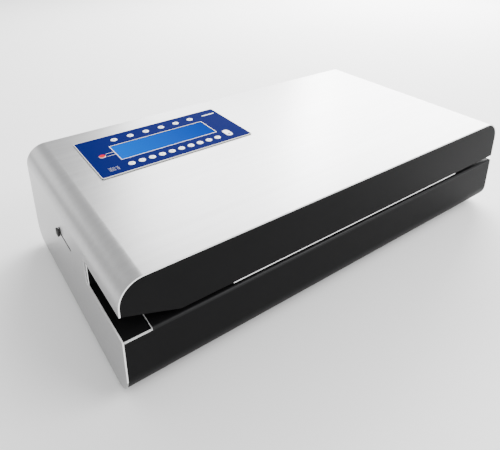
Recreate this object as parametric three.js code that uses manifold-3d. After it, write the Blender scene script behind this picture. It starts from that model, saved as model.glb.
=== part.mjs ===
// Continuous heat sealer for pouches: a bench machine with a silver sheet housing and black front covers.
// A pouch goes in at the left, its open end in the slot, and two belts carry it past the heaters.
// Millimetres, +Z up. The origin is on the ground under the middle of the case; the front faces -Y.
import * as THREE from 'three';
import { mergeVertices } from 'three/addons/utils/BufferGeometryUtils.js';
import Module from 'manifold-3d';

const wasm = await Module();
wasm.setup();

// ---------------------------------------------------------------- driving dimensions
const CASE_W = 560;           // case, left to right
const CASE_D = 300;           // case, front to back
const CASE_H = 130;           // case, without its feet
const FOOT_H = 6;             // ground to the underside of the case
const GAP = 0.3;              // between pieces that touch
const SLIDE_GAP = 0.5;        // between pieces that move past each other

const SHEET = 1.5;            // wall of the housing, base and rear panel
const COVER_WALL = 2.5;       // wall of the black covers
const TOP_BEND_R = 25;        // left and right top bends of the housing, outside
const FRONT_BEND_R = 27;      // front bottom corner, outside
const REAR_BEND_R = 20;       // rear bottom corner, outside
const TRAY_WALL = 4;          // upright edge of the base sheet above its bend

const TABLE_ABOVE_BASE = 69.5; // underside of the case to the feed table's surface
const SLOT_H = 6.4;           // feed slot, between the table and the upper cover
const TABLE_T = 2;            // feed table sheet
const TABLE_LIP_R = 3;        // rounded front edge of the table
const LIP_D = 9;              // depth of the lower cover's top flange
const RECESS_DROP = 1.9;      // entry floor below the table
const RECESS_W = 28;          // entry floor, from the left side of the case
const SLOT_D = 90.6;          // depth of the slot in the left and right sides
const MOUTH_H = 27.7;         // height of the entry mouth in the left side
const RAMP_W = 57;            // width of the funnel in the upper cover's lower edge
const FLANGE_D = 16;          // depth of the upper cover's bottom flange

const STRIP_INSET = [114, 87]; // guide strip, from the left and right sides of the case
const STRIP_T = 0.8;          // guide strip sheet
const STRIP_LIP = 1.4;        // height of its front lip
const STRIP_SETBACK = [0.6, 2]; // strip behind the cover's front, and short of its flange's rear edge

const FOOT_R = 10;
const FOOT_INSET = [45, 40];  // foot centre from the sides and from the front and back

const BELT_W = 16;            // width of the transport belts
const BELT_T = 1.2;
const BELT_GAP = 0.5;         // pinch between the two belts
const BELT_SETBACK = 22;      // front of the case to the belts
const PULLEY_R = 12.5;
const SHAFT_R = 4;
const SHAFT_NOSE = 2;         // shafts in front of the belts
const BEARING_GAP = 0.4;      // shaft to the plate that carries it
const PULLEY_INSET = 75;      // pulley centres from the sides of the case
const PRESS_ROLLER_R = 9;
const PRESS_SHAFT_R = 3;
const PRESS_FROM_DRIVE = 65;  // press rollers, left of the drive pulleys
const HEATER_T = 14;
const HEATER_LUG = 14;        // lugs that reach the bearing plate, and their distance from the ends
const HEATER_FROM_IDLER = 85; // idler pulleys to the heaters' left end
const HEATER_TO_PRESS = 80;   // heaters' right end to the press rollers
const PLATE_T = 4;            // bearing plates
const PLATE_SETBACK = 46;     // front of the case to the bearing plates
const PLATE_PAST_AXES = [17, 35]; // plates past the idler and drive axes
const PLATE_FLANGE_T = 2;
const PLATE_FLANGE_D = 20;    // foot of the lower bearing plate
const PLATE_LIFT = 0.1;       // upper bearing plate above the cover's lower edge
const PLATE_HEADROOM = 3;     // plates below the housing's top sheet
const BACK_PLATE_T = 2.5;
const BACK_PLATE_SETBACK = 88.3;

const GEAR_TEETH = 20;
const PINION_TEETH = 12;
const PINION_SHAFT_R = 3;
const GEAR_W = 10;
const GEAR_SETBACK = 94;      // front of the case to the gears
const GEARBOX = [40, 28];     // width and depth
const MOTOR_R = 19;
const MOTOR_L = 60;

const GUIDE_T = 3;            // edge guide plate
const GUIDE_SETBACK = 83.5;   // front of the case to the edge guide, all the way back
const GUIDE_W = 53.2;
const GUIDE_INSET = 0.8;      // guide plate's edge behind the case's left side
const ARM = { inset: 2.5, t: 3, below: 4.6, above: 5.4 }; // guide's arm: behind the sheet, and about the knob
const GUIDE_TRAVEL = 38;      // how far the guide and its knob slide forward
const KNOB = 8;               // square adjuster knob
const KNOB_PROUD = 3;         // how far the knob stands out of the left side
const KNOB_UP = 9.1;          // knob above the table
const KNOB_SETBACK = 175;     // front of the case to the knob, all the way back
const STEM = 5;               // knob stem, along the slit
const SLIT_H = 2.8;           // adjuster slit in the left side
const ROD_R = 3;              // rod that the guide's carriage slides on
const ROD_INSET = 18;
const ROD_UP = 52.5;          // rod above the base sheet
const ROD_PAST_EAR = 1;
const CARRIAGE = [18.7, 28];  // width and length
const CARRIAGE_AHEAD = 5;     // middle of the carriage in front of the knob
const CARRIAGE_DROP = 8;      // carriage below the rod's axis
const BRACKET_W = 18;
const BRACKET_ABOVE = 6;      // bracket's ears above the rod's axis
const EAR_T = 3;
const EAR_CLEAR = 15;         // ears from the carriage at both ends of its travel

const PANEL = [202.7, 103];   // keypad panel, width and depth
const PANEL_T = 1;
const PANEL_INSET = [51.5, 31]; // panel from the left side and from the back of the case
const LCD = [130.2, 39.5];
const LCD_AT = [101, 51.2];   // display's centre in the panel, from its left front corner
const LCD_DEPTH = 12;         // depth of the display module
const LCD_FRAME = 5;          // module's body past its glass
const LCD_SUNK = 0.3;         // glass below the panel
const KEY_R = 4.2;
const KEY_T = 0.8;
const KEY_GAP = 0.3;          // key to the edge of its hole
const KEY_STANDS = 0.4;       // key above the panel
const LOWER_KEYS = { count: 10, first: [41.2, 15.7], pitch: 13.12 };
const UPPER_KEYS = { count: 6, first: [47.2, 86.8], pitch: 22.1 };
const RED_KEY_AT = [18.9, 51.5];
const OVAL_KEY_AT = [177.4, 20];
const OVAL_KEY = [9, 18];

const VENT = { w: 3, h: 22, pitch: 8, count: 16, inset: 60, above: 42 };
const INLET = { w: 30, h: 62, depth: 24, inset: 62, above: 32, lip: 3, proud: 2.2 };
const SOCKET = { w: 24, h: 17, depth: 15, above: 4 };
const PIN = { w: 2, h: 4, recess: 6, at: [[-7, -1.5], [0, 2.5], [7, -1.5]] };
const ROCKER = { w: 13, h: 17, depth: 7, tilt: 8, below: 5, pivot: 3.4 };

const POWER = { size: [140, 80], trayT: 3, fromRight: 146, fromBack: 25 };
const BOARD = { size: [140, 70], t: 1.6, above: 8, fromLeft: 30, fromBack: 25, post: 6, postInset: 2 };

// ---------------------------------------------------------------- places worked out from them
const LEFT = -CASE_W / 2;
const RIGHT = CASE_W / 2;
const FRONT = -CASE_D / 2;
const BACK = CASE_D / 2;
const BASE = FOOT_H;
const TOP = FOOT_H + CASE_H;
const INSIDE = SHEET + GAP;               // case side to a piece that fits inside the housing
const FLOOR = BASE + SHEET + GAP;         // what stands on the base sheet starts here
const TABLE_Z = BASE + TABLE_ABOVE_BASE;
const COVER_Z = TABLE_Z + SLOT_H;         // lower edge of the upper cover
const RECESS_Z = TABLE_Z - RECESS_DROP;
const MOUTH_Z = TABLE_Z + MOUTH_H;
const SLOT_BACK = FRONT + SLOT_D;
const TRAY_TOP = BASE + REAR_BEND_R + TRAY_WALL;
const PLATES_TOP = TOP - SHEET - PLATE_HEADROOM;
const FEED_Z = TABLE_Z + SLOT_H / 2;      // the plane in which pouches travel

const BELT_Y = [FRONT + BELT_SETBACK, FRONT + BELT_SETBACK + BELT_W];
const LOOP_IN = PULLEY_R + GAP;
const LOOP_OUT = LOOP_IN + BELT_T;
const AXIS_UP = BELT_GAP / 2 + LOOP_OUT;  // pulley axes above and below the feed plane
const IDLER_X = LEFT + PULLEY_INSET;
const DRIVE_X = RIGHT - PULLEY_INSET;
const PRESS_X = DRIVE_X - PRESS_FROM_DRIVE;
const INNER_RUN = BELT_GAP / 2 + BELT_T + GAP; // feed plane to what backs a belt
const PLATE_Y = [FRONT + PLATE_SETBACK, FRONT + PLATE_SETBACK + PLATE_T];
const PLATE_X = [IDLER_X - PLATE_PAST_AXES[0], DRIVE_X + PLATE_PAST_AXES[1]];
const BACK_PLATE_Y = [FRONT + BACK_PLATE_SETBACK, FRONT + BACK_PLATE_SETBACK + BACK_PLATE_T];
const GEAR_Y = [FRONT + GEAR_SETBACK, FRONT + GEAR_SETBACK + GEAR_W];
const MODULE = (2 * AXIS_UP) / GEAR_TEETH;     // the two drive gears are in mesh
const LOWER_AXIS_Z = FEED_Z - AXIS_UP;
const UPPER_AXIS_Z = FEED_Z + AXIS_UP;
const PINION_Z = LOWER_AXIS_Z - (MODULE * (GEAR_TEETH + PINION_TEETH)) / 2;
const LOWER_PRESS_Z = FEED_Z - INNER_RUN - PRESS_ROLLER_R;
const UPPER_PRESS_Z = FEED_Z + INNER_RUN + PRESS_ROLLER_R;
const IDLER_END = PLATE_Y[1] + 2;              // rear ends of the idlers' and of the drive shafts
const DRIVE_END = GEAR_Y[1] + 2;

const KNOB_Z = TABLE_Z + KNOB_UP;
const KNOB_Y = FRONT + KNOB_SETBACK;
const ROD_X = LEFT + ROD_INSET;
const ROD_Z = BASE + SHEET + ROD_UP;
const ARM_X = LEFT + SHEET + ARM.inset;
const CARRIAGE_Y = [-0.5, 0.5].map((half) => KNOB_Y - CARRIAGE_AHEAD + half * CARRIAGE[1]);
const ROD_Y = [CARRIAGE_Y[0] - GUIDE_TRAVEL - EAR_CLEAR, CARRIAGE_Y[1] + EAR_CLEAR];
const PANEL_X = LEFT + PANEL_INSET[0];
const PANEL_Y = BACK - PANEL_INSET[1] - PANEL[1];
const PANEL_Z = TOP + GAP;
const KEY_TOP = PANEL_Z + PANEL_T + KEY_STANDS;

// ---------------------------------------------------------------- outlines and solids
function polygon(points) {
  return new THREE.Shape(points.map(([a, b]) => new THREE.Vector2(a, b)));
}

function rounded(a0, a1, b0, b1, r) {
  const s = new THREE.Shape();
  s.absarc(a0 + r, b0 + r, r, Math.PI, 1.5 * Math.PI);
  s.absarc(a1 - r, b0 + r, r, 1.5 * Math.PI, 2 * Math.PI);
  s.absarc(a1 - r, b1 - r, r, 0, 0.5 * Math.PI);
  s.absarc(a0 + r, b1 - r, r, 0.5 * Math.PI, Math.PI);
  s.closePath();
  return s;
}

function disc(a, b, r) {
  const s = new THREE.Shape();
  s.absarc(a, b, r, 0, 2 * Math.PI);
  return s;
}

function extrude(shape, length, curveSegments) {
  return new THREE.ExtrudeGeometry(shape, { depth: length, bevelEnabled: false, curveSegments });
}

// The outline's (a, b) are (y, z), (x, z) and (x, y) for the three directions.
function alongX(shape, x0, x1, segments = 6) {
  const turn = new THREE.Matrix4().set(0, 0, 1, x0, 1, 0, 0, 0, 0, 1, 0, 0, 0, 0, 0, 1);
  return extrude(shape, x1 - x0, segments).applyMatrix4(turn);
}

function alongY(shape, y0, y1, segments = 6) {
  return extrude(shape, y1 - y0, segments).rotateX(Math.PI / 2).translate(0, y1, 0);
}

function alongZ(shape, z0, z1, segments = 6) {
  return extrude(shape, z1 - z0, segments).translate(0, 0, z0);
}

function block(x0, x1, y0, y1, z0, z1) {
  const box = new THREE.BoxGeometry(x1 - x0, y1 - y0, z1 - z0);
  return box.translate((x0 + x1) / 2, (y0 + y1) / 2, (z0 + z1) / 2);
}

function solid(geometry) {
  const bare = geometry.clone();
  bare.deleteAttribute('normal');
  bare.deleteAttribute('uv');
  const merged = mergeVertices(bare, 1e-4);
  const vertProperties = new Float32Array(merged.attributes.position.array);
  const triVerts = new Uint32Array(merged.index.array);
  return new wasm.Manifold(new wasm.Mesh({ numProp: 3, vertProperties, triVerts }));
}

function geometryOf(body) {
  const mesh = body.getMesh();
  const geometry = new THREE.BufferGeometry();
  geometry.setAttribute('position', new THREE.BufferAttribute(new Float32Array(mesh.vertProperties), 3));
  geometry.setIndex(new THREE.BufferAttribute(new Uint32Array(mesh.triVerts), 1));
  geometry.computeVertexNormals();
  return geometry;
}

function joined(...pieces) {
  return geometryOf(pieces.map(solid).reduce((a, b) => a.add(b)));
}

function cut(piece, ...tools) {
  return geometryOf(tools.map(solid).reduce((a, b) => a.subtract(b), solid(piece)));
}

function common(a, b) {
  return geometryOf(solid(a).intersect(solid(b)));
}

// ---------------------------------------------------------------- finishes
function finish(color, roughness, metalness) {
  return new THREE.MeshStandardMaterial({ color, roughness, metalness });
}

const silver = finish(0xc9cacc, 0.38, 0.9);
const black = finish(0x202124, 0.45, 0.1);
const bareMetal = finish(0xd8d9da, 0.3, 1);
const zinc = finish(0xa9adb0, 0.5, 0.9);
const aluminium = finish(0xb8babd, 0.45, 0.9);
const steel = finish(0x8f9296, 0.35, 1);
const rubber = finish(0x17181a, 0.9, 0);
const blackPlastic = finish(0x1b1c1e, 0.6, 0);
const gearPlastic = finish(0xe6e1d2, 0.55, 0);
const beltRubber = finish(0x9c6a3c, 0.7, 0);
const panelBlue = finish(0x0a2f86, 0.4, 0);
const displayBlue = finish(0x1f7fe6, 0.2, 0);
const keyWhite = finish(0xf2f3f5, 0.4, 0);
const keyRed = finish(0xe0414a, 0.4, 0);
const boardGreen = finish(0x1d5b3a, 0.6, 0);
const motorPaint = finish(0x3b3e42, 0.5, 0.6);

const sealer = new THREE.Group();

function add(name, geometry, material) {
  const mesh = new THREE.Mesh(geometry, material);
  mesh.name = name;
  sealer.add(mesh);
  return mesh;
}

// ---------------------------------------------------------------- housing
// The case seen from its side: round front and rear bottom corners, square at the top.
function sideOutline(inset) {
  const s = new THREE.Shape();
  const front = FRONT_BEND_R;
  const rear = REAR_BEND_R;
  s.moveTo(FRONT + inset, TOP + 1);
  s.lineTo(FRONT + inset, BASE + front);
  s.absarc(FRONT + front, BASE + front, front - inset, Math.PI, 1.5 * Math.PI);
  s.absarc(BACK - rear, BASE + rear, rear - inset, 1.5 * Math.PI, 2 * Math.PI);
  s.lineTo(BACK - inset, TOP + 1);
  s.closePath();
  return s;
}

// The case seen from the front, down to the height bottom, every side moved in by inset.
function frontOutline(inset, bottom) {
  const s = new THREE.Shape();
  const r = TOP_BEND_R - inset;
  s.moveTo(RIGHT - inset, bottom);
  s.lineTo(RIGHT - inset, TOP - TOP_BEND_R);
  s.absarc(RIGHT - TOP_BEND_R, TOP - TOP_BEND_R, r, 0, 0.5 * Math.PI);
  s.absarc(LEFT + TOP_BEND_R, TOP - TOP_BEND_R, r, 0.5 * Math.PI, Math.PI);
  s.lineTo(LEFT + inset, bottom);
  s.closePath();
  return s;
}

function housingShell() {
  const outer = common(
    alongY(frontOutline(0, BASE - 1), FRONT, BACK),
    alongX(sideOutline(0), LEFT - 1, RIGHT + 1),
  );
  const mouth = block(LEFT - 1, LEFT + 2 * SHEET, FRONT - 1, SLOT_BACK, TABLE_Z, MOUTH_Z);
  const exit = block(RIGHT - 2 * SHEET, RIGHT + 1, FRONT - 1, SLOT_BACK, TABLE_Z, COVER_Z);
  const slit = block(
    LEFT - 1,
    LEFT + 2 * SHEET,
    KNOB_Y - GUIDE_TRAVEL - STEM / 2 - SLIDE_GAP,
    KNOB_Y + STEM / 2 + SLIDE_GAP,
    KNOB_Z - SLIT_H / 2,
    KNOB_Z + SLIT_H / 2,
  );
  const lcdX = PANEL_X + LCD_AT[0];
  const lcdY = PANEL_Y + LCD_AT[1];
  const reach = { x: LCD[0] / 2 + 2 * GAP, y: LCD[1] / 2 + 2 * GAP };
  const window = block(lcdX - reach.x, lcdX + reach.x, lcdY - reach.y, lcdY + reach.y, TOP - 5, TOP + 5);
  const hollow = alongY(frontOutline(SHEET, BASE - 2), FRONT - 1, BACK + 1);
  return cut(outer, hollow, mouth, exit, slit, window);
}

// One bent sheet: flat under the machine and up the round rear corner.
function baseTray() {
  const r = REAR_BEND_R;
  const start = FRONT + FRONT_BEND_R + GAP;
  const s = new THREE.Shape();
  s.moveTo(start, BASE);
  s.lineTo(BACK - r, BASE);
  s.absarc(BACK - r, BASE + r, r, 1.5 * Math.PI, 2 * Math.PI);
  s.lineTo(BACK, TRAY_TOP);
  s.lineTo(BACK - SHEET, TRAY_TOP);
  s.absarc(BACK - r, BASE + r, r - SHEET, 2 * Math.PI, 1.5 * Math.PI, true);
  s.lineTo(start, BASE + SHEET);
  s.closePath();
  return alongX(s, LEFT + INSIDE, RIGHT - INSIDE);
}

function inletCentre() {
  return [RIGHT - INLET.inset, BASE + INLET.above + INLET.h / 2];
}

function rearPanel() {
  const outline = frontOutline(INSIDE, TRAY_TOP + GAP);
  const row = BASE + VENT.above;
  for (let i = 0; i < VENT.count; i += 1) {
    const x = LEFT + VENT.inset + i * VENT.pitch;
    const r = VENT.w / 2;
    const slot = new THREE.Path();
    slot.absarc(x, row + r, r, Math.PI, 2 * Math.PI);
    slot.absarc(x, row + VENT.h - r, r, 0, Math.PI);
    slot.closePath();
    outline.holes.push(new THREE.Path(slot.getPoints(2)));
  }
  const [ix, iz] = inletCentre();
  const body = { w: INLET.w / 2 + GAP, h: INLET.h / 2 + GAP };
  const hole = rounded(ix - body.w, ix + body.w, iz - body.h, iz + body.h, 1);
  outline.holes.push(new THREE.Path(hole.getPoints(2)));
  return alongY(outline, BACK - SHEET, BACK, 4);
}

// ---------------------------------------------------------------- front covers and feed path
function upperFrontCover() {
  const edge = polygon([
    [LEFT + INSIDE, MOUTH_Z],
    [LEFT + RAMP_W, COVER_Z],
    [RIGHT - INSIDE, COVER_Z],
    [RIGHT - INSIDE, COVER_Z + COVER_WALL],
    [LEFT + RAMP_W, COVER_Z + COVER_WALL],
    [LEFT + INSIDE, MOUTH_Z + COVER_WALL],
  ]);
  const below = polygon([
    [LEFT, MOUTH_Z],
    [LEFT + INSIDE, MOUTH_Z],
    [LEFT + RAMP_W, COVER_Z],
    [RIGHT, COVER_Z],
    [RIGHT, COVER_Z - 40],
    [LEFT, COVER_Z - 40],
  ]);
  const plate = alongY(frontOutline(INSIDE, COVER_Z - 20), FRONT, FRONT + COVER_WALL);
  const trimmed = cut(plate, alongY(below, FRONT - 1, FRONT + COVER_WALL + 1));
  return joined(trimmed, alongY(edge, FRONT, FRONT + FLANGE_D));
}

// Seen from the side it is a J on its back: a short rounded top, the front, and the round bottom.
function lowerFrontCover() {
  const r = FRONT_BEND_R;
  const wall = COVER_WALL;
  const lip = TABLE_LIP_R;
  const s = new THREE.Shape();
  s.moveTo(FRONT + LIP_D, TABLE_Z);
  s.lineTo(FRONT + lip, TABLE_Z);
  s.absarc(FRONT + lip, TABLE_Z - lip, lip, 0.5 * Math.PI, Math.PI);
  s.absarc(FRONT + r, BASE + r, r, Math.PI, 1.5 * Math.PI);
  s.lineTo(FRONT + r, BASE + wall);
  s.absarc(FRONT + r, BASE + r, r - wall, 1.5 * Math.PI, Math.PI, true);
  s.lineTo(FRONT + wall, TABLE_Z - wall);
  s.lineTo(FRONT + LIP_D, TABLE_Z - wall);
  s.closePath();
  const recessEnd = LEFT + RECESS_W;
  const recessTop = block(LEFT, recessEnd, FRONT - 1, FRONT + LIP_D + 1, RECESS_Z, TABLE_Z + 1);
  const recessLip = block(LEFT, recessEnd, FRONT + wall, FRONT + LIP_D + 1, TABLE_Z - 2 * wall, TABLE_Z + 1);
  return cut(alongX(s, LEFT + INSIDE, RIGHT - INSIDE), recessTop, recessLip);
}

// The table has a long window where the belts and heaters come up to the feed plane.
function feedTable() {
  const x = [LEFT + RECESS_W + GAP, RIGHT - INSIDE];
  const y = [FRONT + LIP_D + GAP, BACK_PLATE_Y[0] - GAP];
  const z = [TABLE_Z - TABLE_T, TABLE_Z];
  return cut(
    block(x[0], x[1], y[0], y[1], z[0], z[1]),
    block(PLATE_X[0], PLATE_X[1], BELT_Y[0] - SHAFT_NOSE, PLATE_Y[1] + 1, z[0] - 1, z[1] + 1),
  );
}

function entryFloor() {
  return block(
    LEFT + INSIDE,
    LEFT + RECESS_W,
    FRONT + COVER_WALL + GAP,
    BACK_PLATE_Y[0] - GAP,
    RECESS_Z - TABLE_T,
    RECESS_Z,
  );
}

function guideStrip() {
  const top = COVER_Z - GAP;
  const front = FRONT + STRIP_SETBACK[0];
  const rear = FRONT + FLANGE_D - STRIP_SETBACK[1];
  const section = polygon([
    [front, top - STRIP_LIP],
    [front + STRIP_T, top - STRIP_LIP],
    [front + STRIP_T, top - STRIP_T],
    [rear, top - STRIP_T],
    [rear, top],
    [front, top],
  ]);
  return alongX(section, LEFT + STRIP_INSET[0], RIGHT - STRIP_INSET[1]);
}

add('housing_shell', housingShell(), silver);
add('base_tray', baseTray(), zinc);
add('rear_panel', rearPanel(), silver);
add('upper_front_cover', upperFrontCover(), black);
add('lower_front_cover', lowerFrontCover(), black);
add('feed_table', feedTable(), black);
add('entry_floor', entryFloor(), black);
add('guide_strip', guideStrip(), bareMetal);

// A solid turned about Y, from radius and height pairs.
function turned(profile, segments) {
  return new THREE.LatheGeometry(profile.map(([a, b]) => new THREE.Vector2(a, b)), segments);
}

// A rubber foot, slightly wider where it meets the case.
function foot() {
  const profile = [
    [0, 0],
    [FOOT_R - 2, 0],
    [FOOT_R - 0.8, 0.8],
    [FOOT_R, BASE - GAP],
    [0, BASE - GAP],
  ];
  return turned(profile, 20).rotateX(Math.PI / 2);
}

for (const [side, sx] of [['left', -1], ['right', 1]]) {
  for (const [end, sy] of [['front', -1], ['rear', 1]]) {
    const mesh = add(`foot_${end}_${side}`, foot(), rubber);
    mesh.position.set(sx * (RIGHT - FOOT_INSET[0]), sy * (BACK - FOOT_INSET[1]), 0);
  }
}

// ---------------------------------------------------------------- transport: plates, pulleys, belts
// A round hole along Y for a shaft of radius r.
function bore(x, z, r) {
  return alongY(disc(x, z, r + BEARING_GAP), FRONT, BACK, 10);
}

function lowerBearingPlate() {
  const section = polygon([
    [PLATE_Y[0], FLOOR],
    [PLATE_Y[1] + PLATE_FLANGE_D, FLOOR],
    [PLATE_Y[1] + PLATE_FLANGE_D, FLOOR + PLATE_FLANGE_T],
    [PLATE_Y[1], FLOOR + PLATE_FLANGE_T],
    [PLATE_Y[1], TABLE_Z - TABLE_T - GAP],
    [PLATE_Y[0], TABLE_Z - TABLE_T - GAP],
  ]);
  return cut(
    alongX(section, PLATE_X[0], PLATE_X[1]),
    bore(IDLER_X, LOWER_AXIS_Z, SHAFT_R),
    bore(DRIVE_X, LOWER_AXIS_Z, SHAFT_R),
    bore(PRESS_X, LOWER_PRESS_Z, PRESS_SHAFT_R),
  );
}

function upperBearingPlate() {
  const bottom = COVER_Z + PLATE_LIFT;
  const section = polygon([
    [PLATE_Y[0], bottom],
    [BACK_PLATE_Y[0] - GAP, bottom],
    [BACK_PLATE_Y[0] - GAP, bottom + PLATE_FLANGE_T],
    [PLATE_Y[1], bottom + PLATE_FLANGE_T],
    [PLATE_Y[1], PLATES_TOP],
    [PLATE_Y[0], PLATES_TOP],
  ]);
  return cut(
    alongX(section, PLATE_X[0], PLATE_X[1]),
    bore(IDLER_X, UPPER_AXIS_Z, SHAFT_R),
    bore(DRIVE_X, UPPER_AXIS_Z, SHAFT_R),
    bore(PRESS_X, UPPER_PRESS_Z, PRESS_SHAFT_R),
  );
}

// Joins the lower and upper halves behind the feed slot and carries the drive shafts' far ends.
function mechanismBackPlate() {
  return cut(
    block(PLATE_X[0], PLATE_X[1], BACK_PLATE_Y[0], BACK_PLATE_Y[1], FLOOR, PLATES_TOP),
    bore(DRIVE_X, LOWER_AXIS_Z, SHAFT_R),
    bore(DRIVE_X, UPPER_AXIS_Z, SHAFT_R),
  );
}

// A turned roller along Y: its drum within the belt and its shaft on to shaftEnd.
function roller(x, z, drumR, shaftR, shaftEnd) {
  const start = BELT_Y[0] - SHAFT_NOSE;
  const profile = [
    [0, 0],
    [shaftR, 0],
    [shaftR, BELT_Y[0] - start],
    [drumR, BELT_Y[0] - start],
    [drumR, BELT_Y[1] - start],
    [shaftR, BELT_Y[1] - start],
    [shaftR, shaftEnd - start],
    [0, shaftEnd - start],
  ];
  return turned(profile, 24).translate(x, start, z);
}

function belt(z) {
  const ring = new THREE.Shape();
  ring.absarc(DRIVE_X, z, LOOP_OUT, -0.5 * Math.PI, 0.5 * Math.PI);
  ring.absarc(IDLER_X, z, LOOP_OUT, 0.5 * Math.PI, 1.5 * Math.PI);
  ring.closePath();
  const inside = new THREE.Path();
  inside.absarc(DRIVE_X, z, LOOP_IN, -0.5 * Math.PI, 0.5 * Math.PI);
  inside.absarc(IDLER_X, z, LOOP_IN, 0.5 * Math.PI, 1.5 * Math.PI);
  inside.closePath();
  ring.holes.push(inside);
  return alongY(ring, BELT_Y[0], BELT_Y[1], 8);
}

// A heated bar behind one run of a belt, with two lugs that reach the bearing plate.
function heaterBlock(z0, z1) {
  const x0 = IDLER_X + HEATER_FROM_IDLER;
  const x1 = PRESS_X - HEATER_TO_PRESS;
  const y0 = BELT_Y[0] + 1;
  const y1 = BELT_Y[1] - 1;
  const reach = PLATE_Y[0] - GAP;
  const outline = polygon([
    [x0, y0],
    [x1, y0],
    [x1, y1],
    [x1 - HEATER_LUG, y1],
    [x1 - HEATER_LUG, reach],
    [x1 - 2 * HEATER_LUG, reach],
    [x1 - 2 * HEATER_LUG, y1],
    [x0 + 2 * HEATER_LUG, y1],
    [x0 + 2 * HEATER_LUG, reach],
    [x0 + HEATER_LUG, reach],
    [x0 + HEATER_LUG, y1],
    [x0, y1],
  ]);
  return alongZ(outline, z0, z1);
}

// A plain straight-flanked gear on a hub of radius hubR, with room around each tooth.
function gear(x, z, teeth, hubR, firstTooth) {
  const pitchR = (MODULE * teeth) / 2;
  const tipR = pitchR + 0.75 * MODULE;
  const rootR = pitchR - 1.05 * MODULE;
  const step = (2 * Math.PI) / teeth;
  const flanks = [[-0.3, rootR], [-0.12, tipR], [0.12, tipR], [0.3, rootR]];
  const points = [];
  for (let i = 0; i < teeth; i += 1) {
    for (const [share, r] of flanks) {
      const angle = firstTooth + (i + share) * step;
      points.push([x + r * Math.cos(angle), z + r * Math.sin(angle)]);
    }
  }
  const outline = polygon(points);
  if (hubR > 0) outline.holes.push(new THREE.Path(disc(x, z, hubR).getPoints(10)));
  return alongY(outline, GEAR_Y[0], GEAR_Y[1]);
}

const HALF_GEAR_STEP = Math.PI / GEAR_TEETH;
const HALF_PINION_STEP = Math.PI / PINION_TEETH;
const UP = Math.PI / 2;

function motorPinion() {
  return joined(
    gear(DRIVE_X, PINION_Z, PINION_TEETH, 0, UP + HALF_PINION_STEP),
    alongY(disc(DRIVE_X, PINION_Z, PINION_SHAFT_R), GEAR_Y[0] - 1, DRIVE_END, 8),
  );
}

add('lower_bearing_plate', lowerBearingPlate(), aluminium);
add('upper_bearing_plate', upperBearingPlate(), aluminium);
add('mechanism_back_plate', mechanismBackPlate(), zinc);
add('lower_belt', belt(LOWER_AXIS_Z), beltRubber);
add('upper_belt', belt(UPPER_AXIS_Z), beltRubber);
add('lower_heater_block', heaterBlock(FEED_Z - INNER_RUN - HEATER_T, FEED_Z - INNER_RUN), aluminium);
add('upper_heater_block', heaterBlock(FEED_Z + INNER_RUN, FEED_Z + INNER_RUN + HEATER_T), aluminium);

add('lower_drive_pulley', roller(DRIVE_X, LOWER_AXIS_Z, PULLEY_R, SHAFT_R, DRIVE_END), steel);
add('upper_drive_pulley', roller(DRIVE_X, UPPER_AXIS_Z, PULLEY_R, SHAFT_R, DRIVE_END), steel);
add('lower_idler_pulley', roller(IDLER_X, LOWER_AXIS_Z, PULLEY_R, SHAFT_R, IDLER_END), steel);
add('upper_idler_pulley', roller(IDLER_X, UPPER_AXIS_Z, PULLEY_R, SHAFT_R, IDLER_END), steel);
add('lower_press_roller', roller(PRESS_X, LOWER_PRESS_Z, PRESS_ROLLER_R, PRESS_SHAFT_R, IDLER_END), steel);
add('upper_press_roller', roller(PRESS_X, UPPER_PRESS_Z, PRESS_ROLLER_R, PRESS_SHAFT_R, IDLER_END), steel);
const HUB_R = SHAFT_R + GAP;
add('lower_drive_gear', gear(DRIVE_X, LOWER_AXIS_Z, GEAR_TEETH, HUB_R, UP), gearPlastic);
add('upper_drive_gear', gear(DRIVE_X, UPPER_AXIS_Z, GEAR_TEETH, HUB_R, HALF_GEAR_STEP - UP), gearPlastic);
add('motor_pinion', motorPinion(), steel);

// An arched strip over the upper press roller's shaft, which presses the roller on to its belt.
function pressureSpring() {
  const half = 24;
  const rise = 5;
  const width = 5;
  const t = 0.8;
  const r = (half * half + rise * rise) / (2 * rise);
  const sweep = Math.asin(half / r);
  const middle = UPPER_PRESS_Z + PRESS_SHAFT_R + GAP + r;
  const s = new THREE.Shape();
  s.absarc(PRESS_X, middle, r, 1.5 * Math.PI - sweep, 1.5 * Math.PI + sweep);
  s.absarc(PRESS_X, middle, r - t, 1.5 * Math.PI + sweep, 1.5 * Math.PI - sweep, true);
  s.closePath();
  return alongY(s, PLATE_Y[0] - width, PLATE_Y[0] - GAP, 8);
}

add('pressure_leaf_spring', pressureSpring(), steel);

function gearbox() {
  const y0 = DRIVE_END + GAP;
  const half = GEARBOX[0] / 2;
  const top = PINION_Z + MOTOR_R + 2;
  return block(DRIVE_X - half, DRIVE_X + half, y0, y0 + GEARBOX[1], FLOOR, top);
}

function driveMotor() {
  const y0 = DRIVE_END + GAP + GEARBOX[1] + GAP;
  const profile = [
    [0, 0],
    [MOTOR_R, 0],
    [MOTOR_R, MOTOR_L - 6],
    [MOTOR_R - 3, MOTOR_L],
    [0, MOTOR_L],
  ];
  return turned(profile, 24).translate(DRIVE_X, y0, PINION_Z);
}

add('gearbox', gearbox(), aluminium);
add('drive_motor', driveMotor(), motorPaint);

// ---------------------------------------------------------------- edge guide and its adjuster
function edgeGuide() {
  const x0 = LEFT + GUIDE_INSET;
  const y = FRONT + GUIDE_SETBACK;
  const plate = block(x0, x0 + GUIDE_W, y, y + GUIDE_T, TABLE_Z + 2 * GAP, MOUTH_Z - 1);
  const arm = block(ARM_X, ARM_X + ARM.t, y, CARRIAGE_Y[1], KNOB_Z - ARM.below, KNOB_Z + ARM.above);
  return joined(plate, arm);
}

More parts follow.
